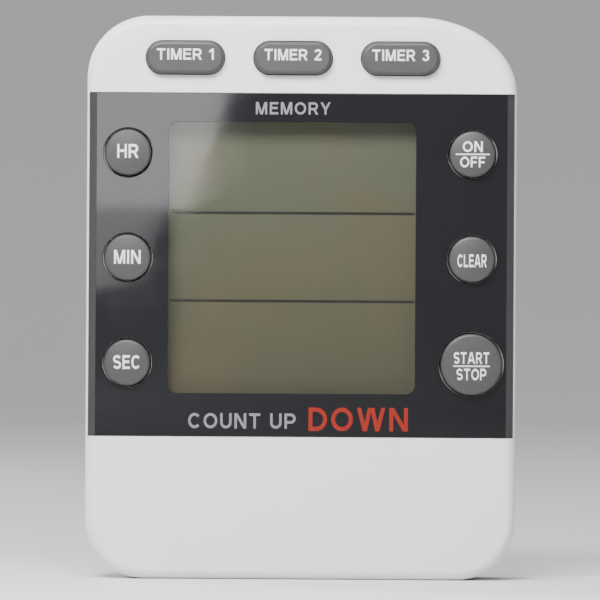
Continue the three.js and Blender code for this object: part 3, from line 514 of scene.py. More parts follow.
def plate(x, z, depth, corners, steps):
    """A plate with rounded corners, given as (across, up) from the bottom left one round to the top left."""
    y = FRONT + depth[0]
    bm = sheet(((x[0], y, z[0]), (x[1], y, z[0]), (x[1], y, z[1]), (x[0], y, z[1])))
    for corner, (across, up) in zip(bm.verts[:], corners):
        bmesh.ops.scale(bm, vec=(up / across, 1, 1), verts=bm.verts)
        round_off(bm, [corner], up, steps, "VERTICES")
        bmesh.ops.scale(bm, vec=(across / up, 1, 1), verts=bm.verts)
    bmesh.ops.remove_doubles(bm, verts=bm.verts, dist=MERGE)
    return thickened(bm, depth[1] - depth[0])


def sliced(bm, place, facing, clear_outer=False):
    """Cuts a mesh along a plane, and may clear what lies beyond it."""
    geom = bm.verts[:] + bm.edges[:] + bm.faces[:]
    bmesh.ops.bisect_plane(bm, geom=geom, plane_co=place, plane_no=facing, clear_outer=clear_outer)


def round_off(bm, geom, width, steps, affect="EDGES"):
    how = {"offset_type": "OFFSET", "profile": 0.5, "material": -1, "clamp_overlap": True}
    return bmesh.ops.bevel(bm, geom=geom, offset=width, segments=steps, affect=affect, **how)


def stadium(at, length, height, depth, steps=16):
    """A plate with round ends."""
    x = (at[0] - length / 2, at[0] + length / 2)
    z = (at[1] - height / 2, at[1] + height / 2)
    return plate(x, z, depth, [(height / 2, height / 2)] * 4, steps)


def turned(profile, at, steps):
    """A solid spun about a line from front to back, from (radius, depth) points that start and end on it."""
    bm = line([(radius, FRONT + depth, 0) for radius, depth in profile])
    spin_round(bm, (0, 1, 0), steps)
    return moved(bm, (at[0], 0, at[1]))


def spin_round(bm, axis, steps):
    """A full turn of an outline about an axis through the origin."""
    geom = bm.verts[:] + bm.edges[:]
    bmesh.ops.spin(bm, geom=geom, cent=(0, 0, 0), axis=axis, angle=2 * math.pi, steps=steps, use_merge=True)
    bmesh.ops.remove_doubles(bm, verts=bm.verts, dist=MERGE)
    bmesh.ops.recalc_face_normals(bm, faces=bm.faces)


def together(*parts):
    """Several separate solids in one mesh."""
    whole = bmesh.new()
    for part in parts:
        mesh = bpy.data.meshes.new("part")
        part.to_mesh(mesh)
        whole.from_mesh(mesh)
        part.free()
        bpy.data.meshes.remove(mesh)
    return whole


def worked(base, steps):
    """A solid after others are joined to it ("UNION") or cut from it ("DIFFERENCE"), one after another."""
    start = placed("base", base)
    tools = []
    for operation, tool in steps:
        step = start.modifiers.new(operation, "BOOLEAN")
        step.operation = operation
        step.solver = "EXACT"
        step.object = placed("tool", tool)
        tools.append(step.object)
    result = bmesh.new()
    result.from_object(start, bpy.context.evaluated_depsgraph_get())
    for used in (start, *tools):
        mesh = used.data
        bpy.data.objects.remove(used)
        bpy.data.meshes.remove(mesh)
    bmesh.ops.remove_doubles(result, verts=result.verts, dist=MERGE)
    return result


def rods(places, radius, depth, steps):
    return together(*[rod(at, radius, depth, steps) for at in places])


def cut(base, *tools):
    return worked(base, [("DIFFERENCE", tool) for tool in tools])


def joined(base, *parts):
    return worked(base, [("UNION", part) for part in parts])


def piece(name, bm, body, slot, material=None, replaces=(), soft=0.0, soft_angle=40):
    """A finished piece: its mesh is set in metres and its edges are softened by a fine bevel."""
    bmesh.ops.scale(bm, vec=(MM, MM, MM), verts=bm.verts)
    made = placed(name, bm)
    mesh = made.data
    for finish in material if isinstance(material, list) else [material or finishes[slot]]:
        mesh.materials.append(finish)
    if soft:
        edge = made.modifiers.new("soft_edges", "BEVEL")
        edge.width = soft * MM
        edge.segments = 3
        edge.limit_method = "ANGLE"
        edge.angle_limit = math.radians(soft_angle)
        edge.use_clamp_overlap = True
    mesh.shade_smooth()
    mesh.set_sharp_from_angle(angle=SHARP_ANGLE)
    even = made.modifiers.new("even_normals", "WEIGHTED_NORMAL")
    even.keep_sharp = True
    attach(made, body)
    if replaces:
        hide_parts(*replaces)
    return made


# ---------- sizes shared by the two halves

WALL = 1.8
# Each corner's radii across and up, from the bottom left one round to the top left.
CORNERS = ((11.7, 11.7), (11.7, 11.7), (20.1, 15.0), (12.1, 12.1))
FRONT_ROUND = 2.0
BACK_ROUND = 1.6
PARTING = 10.0
PARTING_GAP = 0.12
SEAM = 0.35
KEY_GAP = 0.22
LENS_GAP = 0.36
CURVE_STEPS = 20


def body_plate(inset, depth):
    """The outline of the whole body, drawn in by an amount."""
    x = (-WIDTH / 2 + inset, WIDTH / 2 - inset)
    corners = [(across - inset, up - inset) for across, up in CORNERS]
    return plate(x, (inset, HEIGHT - inset), depth, corners, CURVE_STEPS)


def rim_rounded(bm, y, width, steps=8):
    """Rounds the rim that lies in one flat end of a plate."""
    edges = [edge for edge in bm.edges if all(abs(v.co.y - y) < ON_PLANE for v in edge.verts)]
    round_off(bm, edges, width, steps)
    return bm


LENS_LOW, LENS_HIGH = span("lens_panel")
LENS_BACK = depth_span("lens_panel")[1]
GLASS_LOW, GLASS_HIGH = span("lcd_front_glass")
FILM_LOW, FILM_HIGH = span("lcd_polariser")
WINDOW_X = (FILM_LOW.x + 0.7, FILM_HIGH.x - 0.7)
WINDOW_Z = (FILM_LOW.z + 1.0, FILM_HIGH.z - 1.0)
WINDOW_CORNER = 1.8
RECESS = 1.8
FLOOR_BACK = 3.4

ROUND_KEYS = ("hour", "minute", "second", "on_off", "clear", "start_stop")
TIMER_KEYS = ("timer_1", "timer_2", "timer_3")
FLANGE = 0.8
KEY_PROUD = 1.8


def key_radius(name):
    return key_size(name)[0] / 2


def key_size(name):
    """Length and height of a key's face, without the flange that holds it in."""
    low, high = span("key_" + name)
    return high.x - low.x - 2 * FLANGE, high.z - low.z - 2 * FLANGE


def key_hole(name, depth, gap):
    """The shape of a key's hole, larger than the key by a gap."""
    at = middle("key_" + name)
    if name in ROUND_KEYS:
        return rod(at, key_radius(name) + gap, depth, 96)
    length, height = key_size(name)
    return stadium(at, length + 2 * gap, height + 2 * gap, depth)


def window(grown, depth):
    x = (WINDOW_X[0] - grown, WINDOW_X[1] + grown)
    z = (WINDOW_Z[0] - grown, WINDOW_Z[1] + grown)
    return plate(x, z, depth, [(WINDOW_CORNER, WINDOW_CORNER)] * 4, 8)


HOUSING_SCREWS = ("top_left", "top_right", "bottom_left", "bottom_right")
BOARD_SCREWS = ("left_low", "left_high", "right_low", "right_high")
BOARD_SCREWS += ("bottom_left", "bottom_right", "top_left", "top_right")
housing_screws = [middle("housing_screw_" + name) for name in HOUSING_SCREWS]
board_screws = [middle("board_screw_" + name) for name in BOARD_SCREWS]

# ---------- front housing

# How far joined solids run into each other, then the rebate for the rear half's tongue.
SINK = 0.5
LIP = 0.9
REBATE_DEPTH = 1.3
# The lens's recess, the display's seat, and the posts, which start deeper where the recess is.
RECESS_GAP = 0.1
SEAT_STEP = 0.4
POST_SINK = 0.9
LENS_AREA_TOP = 96
HOUSING_POST = {"radius": 2.6, "bore": 1.1, "clear_of_recess": 0.4, "back": PARTING - 0.8, "bore_front": 5.1}
BOARD_POST = {"radius": 1.9, "bore": 0.85, "clear_of_recess": 0.8, "back": 7.95, "bore_front": 4.3}


def front_housing():
    """The front half: a shell with the lens's recess, the display's seat, posts and key holes."""
    shell = rim_rounded(body_plate(0, (0, PARTING)), FRONT, FRONT_ROUND)
    behind_lens = block((-WIDTH, WIDTH), (0, PARTING), (LENS_LOW.z - WALL, LENS_HIGH.z + WALL))
    recess_x = (LENS_LOW.x - RECESS_GAP, LENS_HIGH.x + RECESS_GAP)
    recess_z = (LENS_LOW.z - RECESS_GAP, LENS_HIGH.z + RECESS_GAP)
    seat_depth = (FLOOR_BACK - SEAT_STEP, FLOOR_BACK + SINK)
    posts, bores = [], []
    for at in housing_screws:
        behind = LENS_LOW.z < at[1] < LENS_AREA_TOP
        front = RECESS + HOUSING_POST["clear_of_recess"] if behind else POST_SINK
        posts.append(rod(at, HOUSING_POST["radius"], (front, HOUSING_POST["back"]), 32))
        bores.append(rod(at, HOUSING_POST["bore"], (HOUSING_POST["bore_front"], PARTING), 20))
    for at in board_screws:
        front = RECESS + BOARD_POST["clear_of_recess"] if at[1] < LENS_AREA_TOP else POST_SINK
        posts.append(rod(at, BOARD_POST["radius"], (front, BOARD_POST["back"]), 24))
        bores.append(rod(at, BOARD_POST["bore"], (BOARD_POST["bore_front"], 8), 16))
    holes = [key_hole(name, (-2, FLOOR_BACK + 0.3), KEY_GAP) for name in ROUND_KEYS + TIMER_KEYS]
    steps = [
        ("DIFFERENCE", body_plate(WALL, (FLOOR_BACK, PARTING + 1))),
        ("DIFFERENCE", cut(body_plate(WALL, (WALL, FLOOR_BACK + SINK)), behind_lens)),
        ("DIFFERENCE", body_plate(WALL - LIP, (PARTING - REBATE_DEPTH, PARTING + 1))),
        ("DIFFERENCE", block(recess_x, (-1, RECESS), recess_z)),
        ("UNION", block((GLASS_LOW.x, GLASS_HIGH.x), seat_depth, (GLASS_LOW.z, GLASS_HIGH.z))),
        ("UNION", together(*posts)),
        ("DIFFERENCE", together(*bores)),
        ("DIFFERENCE", window(0.6, (0, FLOOR_BACK + 1))),
        ("DIFFERENCE", together(*holes)),
    ]
    shell = worked(shell, steps)
    return piece("front_housing_shell", shell, "case", "white_housing", replaces=["front_housing"], soft=0.14)


# ---------- lens and what is printed behind it

BEVEL_WIDTH = 1.35
BEVEL_DEPTH = 0.85
LENS_RIM = 0.08
PANE_GAP = 0.04


def lens_panel():
    """The dark printed frame of the lens, sloped and frosted at both sides, and its clear window."""
    panel = block((LENS_LOW.x, LENS_HIGH.x), (0, LENS_BACK), (LENS_LOW.z, LENS_HIGH.z))
    slope = Vector((BEVEL_DEPTH, -BEVEL_WIDTH, 0)).normalized()
    for side in (-1, 1):
        place = (side * (LENS_HIGH.x - BEVEL_WIDTH), FRONT, 0)
        sliced(panel, place, (side * slope.x, slope.y, 0), clear_outer=True)
        open_edges = [edge for edge in panel.edges if edge.is_boundary]
        bmesh.ops.holes_fill(panel, edges=open_edges, sides=0)
    bmesh.ops.recalc_face_normals(panel, faces=panel.faces)
    holes = [key_hole(name, (-1, LENS_BACK + 1), LENS_GAP) for name in ROUND_KEYS]
    panel = cut(panel, together(*holes))
    rim_rounded(panel, FRONT, LENS_RIM, 2)
    panel = cut(panel, window(0, (-1, LENS_BACK + 1)))
    panel.normal_update()
    for face in panel.faces:
        sloped = abs(face.normal.x) > 0.3 and face.normal.y < -0.5 and face.calc_area() > 5
        face.material_index = 1 if sloped else 0
    piece("lens_dark_frame", panel, "case", "dark_lens", [print_dark, frosted], ["lens_panel"])
    pane = window(-PANE_GAP, (0, LENS_BACK))
    for face in pane.faces:
        face.material_index = 0 if face.normal.y < -0.5 else 1
    return piece("lens_clear_window", pane, "case", "dark_lens", [finishes["dark_lens"], clear_back()])


LINE_DEPTH = (LENS_BACK + 0.02, LENS_BACK + 0.04)
LINE_HALF = 0.25
LINE_HEIGHTS = (71.55, 54.35)


def divider_lines():
    """Two dark lines printed across the window, which divide it into three."""
    x = (WINDOW_X[0] + 0.4, WINDOW_X[1] - 0.3)
    lines = [block(x, LINE_DEPTH, (up - LINE_HALF, up + LINE_HALF)) for up in LINE_HEIGHTS]
    made = piece("lens_divider_lines", together(*lines), "case", "dark_lens", ink_black)
    made.visible_shadow = False
    return made


# Half the width of a letter's stroke, and the thickness that letters are made with.
HALF = 0.09
LETTER_THICKNESS = 0.02


def bow(centre, radii, start, end, steps):
    """Points along part of an ellipse, from one angle to another in degrees."""
    turns = [math.radians(start + (end - start) * step / steps) for step in range(steps + 1)]
    return [(centre[0] + radii[0] * math.cos(t), centre[1] + radii[1] * math.sin(t)) for t in turns]


def stem(x, low=0.0, high=1.0):
    return [(x, low), (x, high)]


def bar(y, low, high):
    return [(low, y), (high, y)]


def bowl(x, end, low, high):
    """The round side of a D, P or R."""
    flat = max(x, end - HALF - (high - low) / 2)
    radii = (end - HALF - flat, (high - low) / 2)
    return [(x, high), *bow((flat, (high + low) / 2), radii, 90, -90, 12), (x, low)]


TOP = 1 - HALF
RING = 0.5 - HALF
ARCH = TOP / 2 - HALF / 2

# Plain block capitals, one unit high: each has its width and the centre lines of its strokes.
CAPITALS = {
    "A": (1.0, [[(0.06, -0.1), (0.5, 1.12)], [(0.94, -0.1), (0.5, 1.12)], bar(0.3, 0.25, 0.75)]),
    "C": (0.9, [bow((0.46, 0.5), (0.46 - HALF, RING), 42, 318, 24)]),
    "D": (0.84, [stem(HALF), bowl(HALF, 0.84, HALF, TOP)]),
    "E": (0.74, [stem(HALF), bar(TOP, HALF, 0.74), bar(0.52, HALF, 0.68), bar(HALF, HALF, 0.74)]),
    "F": (0.7, [stem(HALF), bar(TOP, HALF, 0.7), bar(0.48, HALF, 0.62)]),
    "H": (0.82, [stem(HALF), stem(0.82 - HALF), bar(0.52, HALF, 0.82 - HALF)]),
    "I": (0.2, [stem(0.1)]),
    "L": (0.7, [stem(HALF), bar(HALF, HALF, 0.7)]),
    "M": (0.98, [stem(HALF), stem(0.98 - HALF), *[[(x, 1.1), (0.49, -0.04)] for x in (0.11, 0.87)]]),
    "N": (0.84, [stem(HALF), stem(0.84 - HALF), [(0.06, 1.08), (0.78, -0.08)]]),
    "O": (0.98, [bow((0.49, 0.5), (0.49 - HALF, RING), 0, 360, 36)]),
    "P": (0.8, [stem(HALF), bowl(HALF, 0.8, 0.42, TOP)]),
    "R": (0.86, [stem(HALF), bowl(HALF, 0.8, 0.45, TOP), [(0.46, 0.45), (0.8, -0.1)]]),
    "S": (
        0.8,
        [
            bow((0.4, TOP - ARCH / 2), (0.4 - HALF, ARCH / 2), 24, 270, 20)
            + bow((0.4, HALF + ARCH / 2), (0.4 - HALF, ARCH / 2), 90, -156, 20)[1:]
        ],
    ),
    "T": (0.8, [stem(0.4), bar(TOP, 0, 0.8)]),
    "U": (
        0.82,
        [[(HALF, 1.0), *bow((0.41, 0.38), (0.41 - HALF, 0.38 - HALF), 180, 360, 16), (0.82 - HALF, 1.0)]],
    ),
    "W": (
        1.28,
        [[(a, 1.1), (b, -0.1)] for a, b in ((0.07, 0.38), (0.61, 0.34), (0.67, 0.94), (1.21, 0.9))],
    ),
    "Y": (0.82, [stem(0.38, 0, 0.48), [(-0.02, 1.1), (0.38, 0.4)], [(0.78, 1.1), (0.38, 0.4)]]),
    "1": (0.42, [stem(0.33), [(0.33, 0.93), (0.0, 0.7)]]),
    "2": (
        0.68,
        [[*bow((0.34, TOP - 0.2), (0.34 - HALF, 0.2), 172, -35, 16), (0.09, 0.1)], bar(HALF, 0, 0.68)],
    ),
    "3": (
        0.68,
        [
            bow((0.33, TOP - 0.19), (0.32 - HALF, 0.19), 165, -90, 16),
            bow((0.33, HALF + 0.22), (0.35 - HALF, 0.22), 90, -165, 16),
        ],
    ),
}


def stroke(points):
    """A solid line of one width through points, cut off level with the letter's top and bottom."""
    bm = bmesh.new()
    closed = math.dist(points[0], points[-1]) < ON_PLANE
    if closed:
        points = points[:-1]
    count = len(points)
    sides = []
    for index, point in enumerate(points):
        before = points[index - 1] if closed or index else point
        after = points[(index + 1) % count] if closed or index < count - 1 else point
        pairs = (subtract(point, before), subtract(after, point))
        ways = [Vector(pair).normalized() for pair in pairs if any(pair)]
        ahead = sum(ways, Vector((0, 0))).normalized()
        out = Vector((-ahead.y, ahead.x)) * min(HALF * 1.6, HALF / max(0.3, ahead.dot(ways[0])))
        sides.append([bm.verts.new((point[0] + k * out.x, 0, point[1] + k * out.y)) for k in (1, -1)])
    joints = list(zip(sides, sides[1:])) + ([(sides[-1], sides[0])] if closed else [])
    for (a, b), (c, d) in joints:
        bm.faces.new((a, b, d, c))
    for place, facing in (((0, 0, 0), (0, 0, -1)), ((0, 0, 1), (0, 0, 1))):
        sliced(bm, place, facing, clear_outer=True)
    moved(bm, (0, -LETTER_THICKNESS / 2, 0))
    return thickened(bm, LETTER_THICKNESS)


def subtract(point, other):
    return (point[0] - other[0], point[1] - other[1])


def letters(text, size, at, spread, gap=0.16):
    """Capitals of one height spread over a width, centred at a place across and up."""
    whole, across = [], 0.0
    for character in text:
        if character == " ":
            across += 0.5
            continue
        width, lines = CAPITALS[character]
        glyph = joined(stroke(lines[0]), *[stroke(line) for line in lines[1:]])
        whole.append(moved(glyph, (across, 0, 0)))
        across += width + gap
    bm = together(*whole)
    across -= gap
    moved(bm, (-across / 2, 0, -0.5))
    bmesh.ops.scale(bm, vec=(spread / across, 1, size), verts=bm.verts)
    return moved(bm, (at[0], 0, at[1]))


def display_gasket():
    """A ring of dark foam that closes the space between the lens and the display."""
    depth = (depth_span("lens_adhesive")[1] + 0.1, depth_span("lcd_polariser")[0] - 0.05)
    ring = cut(window(0.5, depth), window(0.06, (0, FLOOR_BACK + 1)))
    return piece("display_gasket", ring, "case", "black_insulation", foam_black, soft=0.05)


# Thickness of the lettering on the lens.
LENS_INK = 0.016


def lens_print(name, words, ink_used):
    """Lettering on the lens's face. Each word is (text, height, place across and up, width, gap)."""
    bm = together(*[letters(*word) for word in words])
    bmesh.ops.scale(bm, vec=(1, LENS_INK / LETTER_THICKNESS, 1), verts=bm.verts)
    return piece(name, moved(bm, (0, FRONT, 0)), "case", "dark_lens", ink_used)


def lens_legends():
    upper = ("MEMORY", 2.4, (sum(WINDOW_X) / 2 + 0.1, 92.0), 14.6, 0.22)
    lower = ("COUNT UP", 3.0, (-11.4, 30.95), 21.0, 0.2)
    lens_print("lens_legends_pale", [upper, lower], ink_pale)
    lens_print("lens_legend_red", [("DOWN", 4.6, (11.3, 31.35), 19.4, 0.18)], ink_red)


# ---------- keys

# How far a round key's face is domed, the edges' radii, the wall, and the stem that presses the dome.
CROWN = 0.35
KEY_EDGE = 0.6
TIMER_KEY_EDGE = 0.7
KEY_SKIN = 0.9
STEM = 1.4
KEY_BACK = depth_span("key_hour")[1]
INK_RISE = 0.012
RULE_HALF = 0.13
# The strips' width, in millimetres.
STRIP_WIDTH = 0.5


def crown_depth(radius, edge_radius):
    """Depth of a round key's domed face."""
    return -KEY_PROUD + CROWN * (radius / edge_radius) ** 2


def round_key(name):
    """A domed round key, hollow from behind, with its flange and stem."""
    radius = key_radius(name)
    flat = radius - KEY_EDGE
    profile = [(flat * step / 8, crown_depth(flat * step / 8, flat)) for step in range(9)]
    edge_depth = -KEY_PROUD + CROWN + KEY_EDGE
    for step in range(1, 7):
        angle = math.radians(15 * step)
        profile.append((flat + KEY_EDGE * math.sin(angle), edge_depth - KEY_EDGE * math.cos(angle)))
    front = FLOOR_BACK + 0.3
    profile += [(radius, front), (radius + FLANGE, front), (radius + FLANGE, front + FLANGE)]
    profile += [(radius - KEY_SKIN, front + FLANGE), (radius - KEY_SKIN, KEY_SKIN), (STEM, KEY_SKIN)]
    profile += [(STEM, KEY_BACK), (0, KEY_BACK)]
    node = "key_" + name
    made = turned(profile, middle(node), 72)
    return piece(node + "_cap", made, node, "grey_key", replaces=[node], soft=0.05, soft_angle=70)


def timer_key(name):
    """A flat oblong key, hollow from behind, with its flange and stem."""
    node = "key_" + name
    at = middle(node)
    length, height = key_size(name)
    front = WALL + 0.3
    cap = stadium(at, length, height, (-KEY_PROUD, front + FLANGE))
    rim_rounded(cap, FRONT - KEY_PROUD, TIMER_KEY_EDGE, 7)
    flange = stadium(at, length + 2 * FLANGE, height + 2 * FLANGE, (front, front + FLANGE))
    pocket = stadium(at, length - 2 * KEY_SKIN, height - 2 * KEY_SKIN, (KEY_SKIN, KEY_BACK + 1))
    stem = rod(at, STEM, (KEY_SKIN / 2, KEY_BACK), 32)
    made = worked(cap, [("UNION", flange), ("DIFFERENCE", pocket), ("UNION", stem)])
    return piece(node + "_cap", made, node, "grey_key", replaces=[node], soft=0.05, soft_angle=70)


def key_print(name, words, rule=None, rule_up=0.0):
    """A key's white lettering, laid on its face. Each word is (text, height, width, how far up).

    On a domed key the letters are first cut into strips, so that they follow the dome.
    """
    node = "key_" + name
    at = middle(node)
    parts = [letters(text, size, (0, up), spread) for text, size, spread, up in words]
    if rule:
        depth = (-LETTER_THICKNESS / 2, LETTER_THICKNESS / 2)
        parts.append(moved(centred(rule / 2, depth, (-RULE_HALF, RULE_HALF)), (0, -FRONT, rule_up)))
    bm = together(*parts)
    dome = name in ROUND_KEYS
    if dome:
        for step in range(-10, 11):
            for plane in ((1, 0, 0), (0, 0, 1)):
                sliced(bm, Vector(plane) * step * STRIP_WIDTH, plane)
        flat = key_radius(name) - KEY_EDGE
    for v in bm.verts:
        face = crown_depth(math.hypot(v.co.x, v.co.z), flat) if dome else -KEY_PROUD
        v.co.y = FRONT + face - INK_RISE if v.co.y < 0 else FRONT + face + INK_RISE
    moved(bm, (at[0], 0, at[1]))
    return piece(node + "_legend", bm, node, "grey_key", ink_white)


# ---------- keypad domes

DOME_BACK = depth_span("dome_hour")[1]
DOME_FRONT = depth_span("dome_hour")[0]


def dome(name):
    """A rubber bell with its contact pill."""
    rim = DOME_BACK - 0.75
    profile = [(0, DOME_FRONT), (1.7, DOME_FRONT), (1.9, DOME_FRONT + 0.1), (2.95, rim), (3.4, rim)]
    profile += [(3.4, DOME_BACK), (2.5, DOME_BACK), (2.5, rim), (1.45, DOME_FRONT + 0.45)]
    profile += [(1.2, DOME_FRONT + 0.45), (1.2, DOME_FRONT + 1.65), (0, DOME_FRONT + 1.65)]
    node = "dome_" + name
    made = piece(node + "_bell", turned(profile, middle(node), 40), "case", "keypad_rubber", replaces=[node])
    "press_" + name
    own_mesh(made)
    return made


# ---------- rear housing and what it carries

STAND_LOW, STAND_HIGH = span("stand")
STAND_DEPTH = depth_span("stand")
DOOR_LOW, DOOR_HIGH = span("battery_door")
DOOR_DEPTH = depth_span("battery_door")
LEG_OUT = 33.05
LEG_IN = 29.55
FOOT_TOP = STAND_LOW.z + 3.6
STAND_PIVOT = (sum(STAND_DEPTH) / 2, 62.0)
DOOR_X = 26.05
DOOR_BOTTOM = 9.9
DOOR_PIVOT = (17.2, 22.3)
INSIDE = THICKNESS - WALL
INTO_WALL = INSIDE + 0.6
BEYOND = THICKNESS + 1
SOUNDER = middle("sounder_plate")
GRILLE_RADIUS = 8.0
SLOT_PITCH = 3


def stand_outline(grown, depth, top):
    """The stand's shape, grown all round by an amount: two legs and the foot between them."""
    legs = mirrored(LEG_IN - grown, LEG_OUT + grown, depth, (STAND_LOW.z - grown, top))
    foot = centred(LEG_OUT + grown, depth, (STAND_LOW.z - grown, FOOT_TOP + grown))
    return joined(foot, *legs)


def grille():
    """Five slots whose ends lie on a circle."""
    slots = []
    for step in range(-2, 3):
        up = SLOT_PITCH * step
        length = 2 * math.sqrt(GRILLE_RADIUS**2 - up**2)
        slots.append(stadium((SOUNDER[0], SOUNDER[1] + up), length, 1.3, (INSIDE - 1, BEYOND), 8))
    return together(*slots)


def finger_scoop():
    """An oval hollow under the stand's foot."""
    scoop = rod((0, 0), 1, (15.2, BEYOND), 64)
    bmesh.ops.scale(scoop, vec=(8, 1, 3.2), verts=scoop.verts)
    return moved(scoop, (0, 0, 1.1))


def rear_housing():
    """The back half: a shell with a tongue, to which seats and posts are added before pockets are cut."""
    start = PARTING + PARTING_GAP
    shell = rim_rounded(body_plate(0, (start + SEAM, THICKNESS)), FRONT + THICKNESS, BACK_ROUND)
    shell = joined(shell, body_plate(SEAM, (start, start + 2)))
    tongue = body_plate(WALL - 0.8, (PARTING - 1.2, PARTING + 1))
    tongue = cut(tongue, body_plate(WALL, (PARTING - 2, PARTING + 2)))
    pad = (INSIDE - 2.5, INTO_WALL)
    magnets = [middle("magnet_" + side) for side in ("left", "right")]
    added = [
        # the tongue that enters the front half, then the door's tray and the stand's groove with its cheeks
        tongue,
        centred(27.75, (14.95, INTO_WALL), (8.2, 24.7)),
        stand_outline(1.5, pad, 66.7),
        together(*mirrored(28.05, 35.95, (13.03, INTO_WALL), (57, 66.7))),
        # the finger scoop's wall, the magnets' cups, the sounder's ring and the screw posts
        centred(9.2, pad, (0.6, 4)),
        rods(magnets, 7.3, (14.6, INTO_WALL), 64),
        rod(SOUNDER, 11.3, pad, 96),
        rods(housing_screws, 3.2, (9.4, INTO_WALL), 40),
        # the battery bay's walls
        centred(25.55, (4.1, 16.45), (9.2, 22.8)),
    ]
    removed = [
        # the sounder's seat and the chamber behind it
        rod(SOUNDER, 10.3, (13, 15.15), 96),
        rod(SOUNDER, 9.2, (15, INSIDE), 96),
        # the battery bay, the door's seat, its tab, the lead slots and the door's pivot holes
        centred(24.35, (5.3, BEYOND), (10.4, 21.6)),
        centred(26.25, (16.45, BEYOND), (9.7, 23.2)),
        centred(4.8, (INSIDE, BEYOND), (8.5, 9.9)),
        together(*mirrored(23.45, 24.35, (9.2, 12.6), (21.1, 23.3))),
        cross_rod((-27.15, 27.15), *DOOR_PIVOT, 0.6),
        # the stand's groove, the room round its pins, its pivot holes and the finger scoop
        stand_outline(0.3, (14.9, BEYOND), 64.0),
        together(*mirrored(29.25, 33.35, (14.23, BEYOND), (59.5, 64.34))),
        cross_rod((-34.75, 34.75), *STAND_PIVOT, 1.2),
        finger_scoop(),
        # the magnets' pockets, the grille, the screw wells and the screws' holes
        rods(magnets, 6.1, (15.8, BEYOND), 64),
        grille(),
        rods(housing_screws, 2.4, (14, BEYOND), 40),
        rods(housing_screws, 1.3, (9, 15), 24),
    ]
    steps = [("DIFFERENCE", body_plate(WALL, (PARTING - 1, INSIDE)))]
    steps += [("UNION", tool) for tool in added] + [("DIFFERENCE", tool) for tool in removed]
    made = worked(shell, steps)
    return piece("rear_housing_shell", made, "case", "white_housing", replaces=["rear_housing"], soft=0.12)


def stand():
    """A wire-like frame of two legs and a foot, with grip ribs cut in the foot and a pin at each leg."""
    low, high = STAND_LOW.z, STAND_HIGH.z
    square = (0.4, 0.4)
    outline = [(3.2, 3.2), (3.2, 3.2), square, square]
    made = plate((-LEG_OUT, LEG_OUT), (low, high), STAND_DEPTH, outline, 8)
    through = (STAND_DEPTH[0] - 1, STAND_DEPTH[1] + 1)
    inner = [(1.6, 1.6), (1.6, 1.6), square, square]
    opening = plate((-LEG_IN, LEG_IN), (FOOT_TOP, high + 5), through, inner, 8)
    grips = []
    for step in range(8):
        x = (-7 + 2 * step, -6.2 + 2 * step)
        grips.append(block(x, (STAND_DEPTH[1] - 0.5, BEYOND), (low + 0.9, FOOT_TOP - 0.9)))
    made = cut(made, opening, together(*grips))
    for side in (-1, 1):
        pin = cross_rod(sorted((side * (LEG_OUT - 1), side * STAND_HIGH.x)), *STAND_PIVOT, 1.0, 40)
        made = joined(made, pin)
    return piece("stand_frame", made, "stand", "white_housing", replaces=["stand"], soft=0.3)


def battery_door():
    """A thin cover, round along its hinge edge, with a tab, a pin, finger grooves and an arrow."""
    door = centred(DOOR_X, DOOR_DEPTH, (DOOR_BOTTOM, DOOR_HIGH.z))
    hinge_edges = [e for e in door.edges if all(v.co.z > DOOR_HIGH.z - ON_PLANE for v in e.verts)]
    hinge_edges = [e for e in hinge_edges if abs(e.verts[0].co.x - e.verts[1].co.x) > 1]
    round_off(door, hinge_edges, (DOOR_DEPTH[1] - DOOR_DEPTH[0]) / 2 - 0.01, 6)
    tab = plate((-4.5, 4.5), (DOOR_LOW.z, DOOR_BOTTOM + 1), (DOOR_DEPTH[0], 17.5), [(0.4, 0.4)] * 4, 4)
    pin = cross_rod((DOOR_LOW.x, DOOR_HIGH.x), *DOOR_PIVOT, 0.5, 24)
    groove = DOOR_DEPTH[1] - 0.5
    grips = [centred(5.5, (groove, BEYOND), (11.8 + 1.3 * step, 12.45 + 1.3 * step)) for step in range(4)]
    y = FRONT + groove
    arrow = thickened(sheet(((-1.8, y, 20.4), (0, y, 18.2), (1.8, y, 20.4))), 2)
    steps = [("UNION", tab), ("UNION", pin), ("DIFFERENCE", together(*grips)), ("DIFFERENCE", arrow)]
    made = worked(door, steps)
    body = "battery_door"
    return piece("battery_door_cover", made, body, "white_housing", replaces=["battery_door"], soft=0.12)


def screw(name, head_height, shaft):
    """A pan-head screw with a cross recess, its head towards the back."""
    low, high = span(name)
    tip, top = depth_span(name)
    head = (high.x - low.x) / 2
    seat = top - head_height
    profile = [(0, tip), (shaft * 0.45, tip), (shaft * 0.75, tip + 0.5)]
    turns = int((seat - tip - 1.2) / 0.45)
    for step in range(turns):
        start = tip + 0.6 + 0.45 * step
        profile += [(shaft * 0.78, start), (shaft, start + 0.2), (shaft * 0.78, start + 0.4)]
    profile += [(shaft * 0.8, seat), (head, seat), (head, seat + head_height * 0.35)]
    for step in range(1, 6):
        angle = math.radians(18 * step)
        radius = head - head * 0.45 * (1 - math.cos(angle))
        profile.append((radius, seat + head_height * (0.35 + 0.65 * math.sin(angle))))
    profile.append((0, top))
    arm, wide, deep = head * 0.55, head * 0.13, (top - head_height * 0.6, top + 1)
    cross = joined(centred(arm, deep, (-wide, wide)), centred(wide, deep, (-arm, arm)))
    made = cut(turned(profile, (0, 0), 32), cross)
    moved(made, (middle(name)[0], 0, middle(name)[1]))
    return piece(name + "_threaded", made, "case", "plated_steel", replaces=[name], soft=0.04)


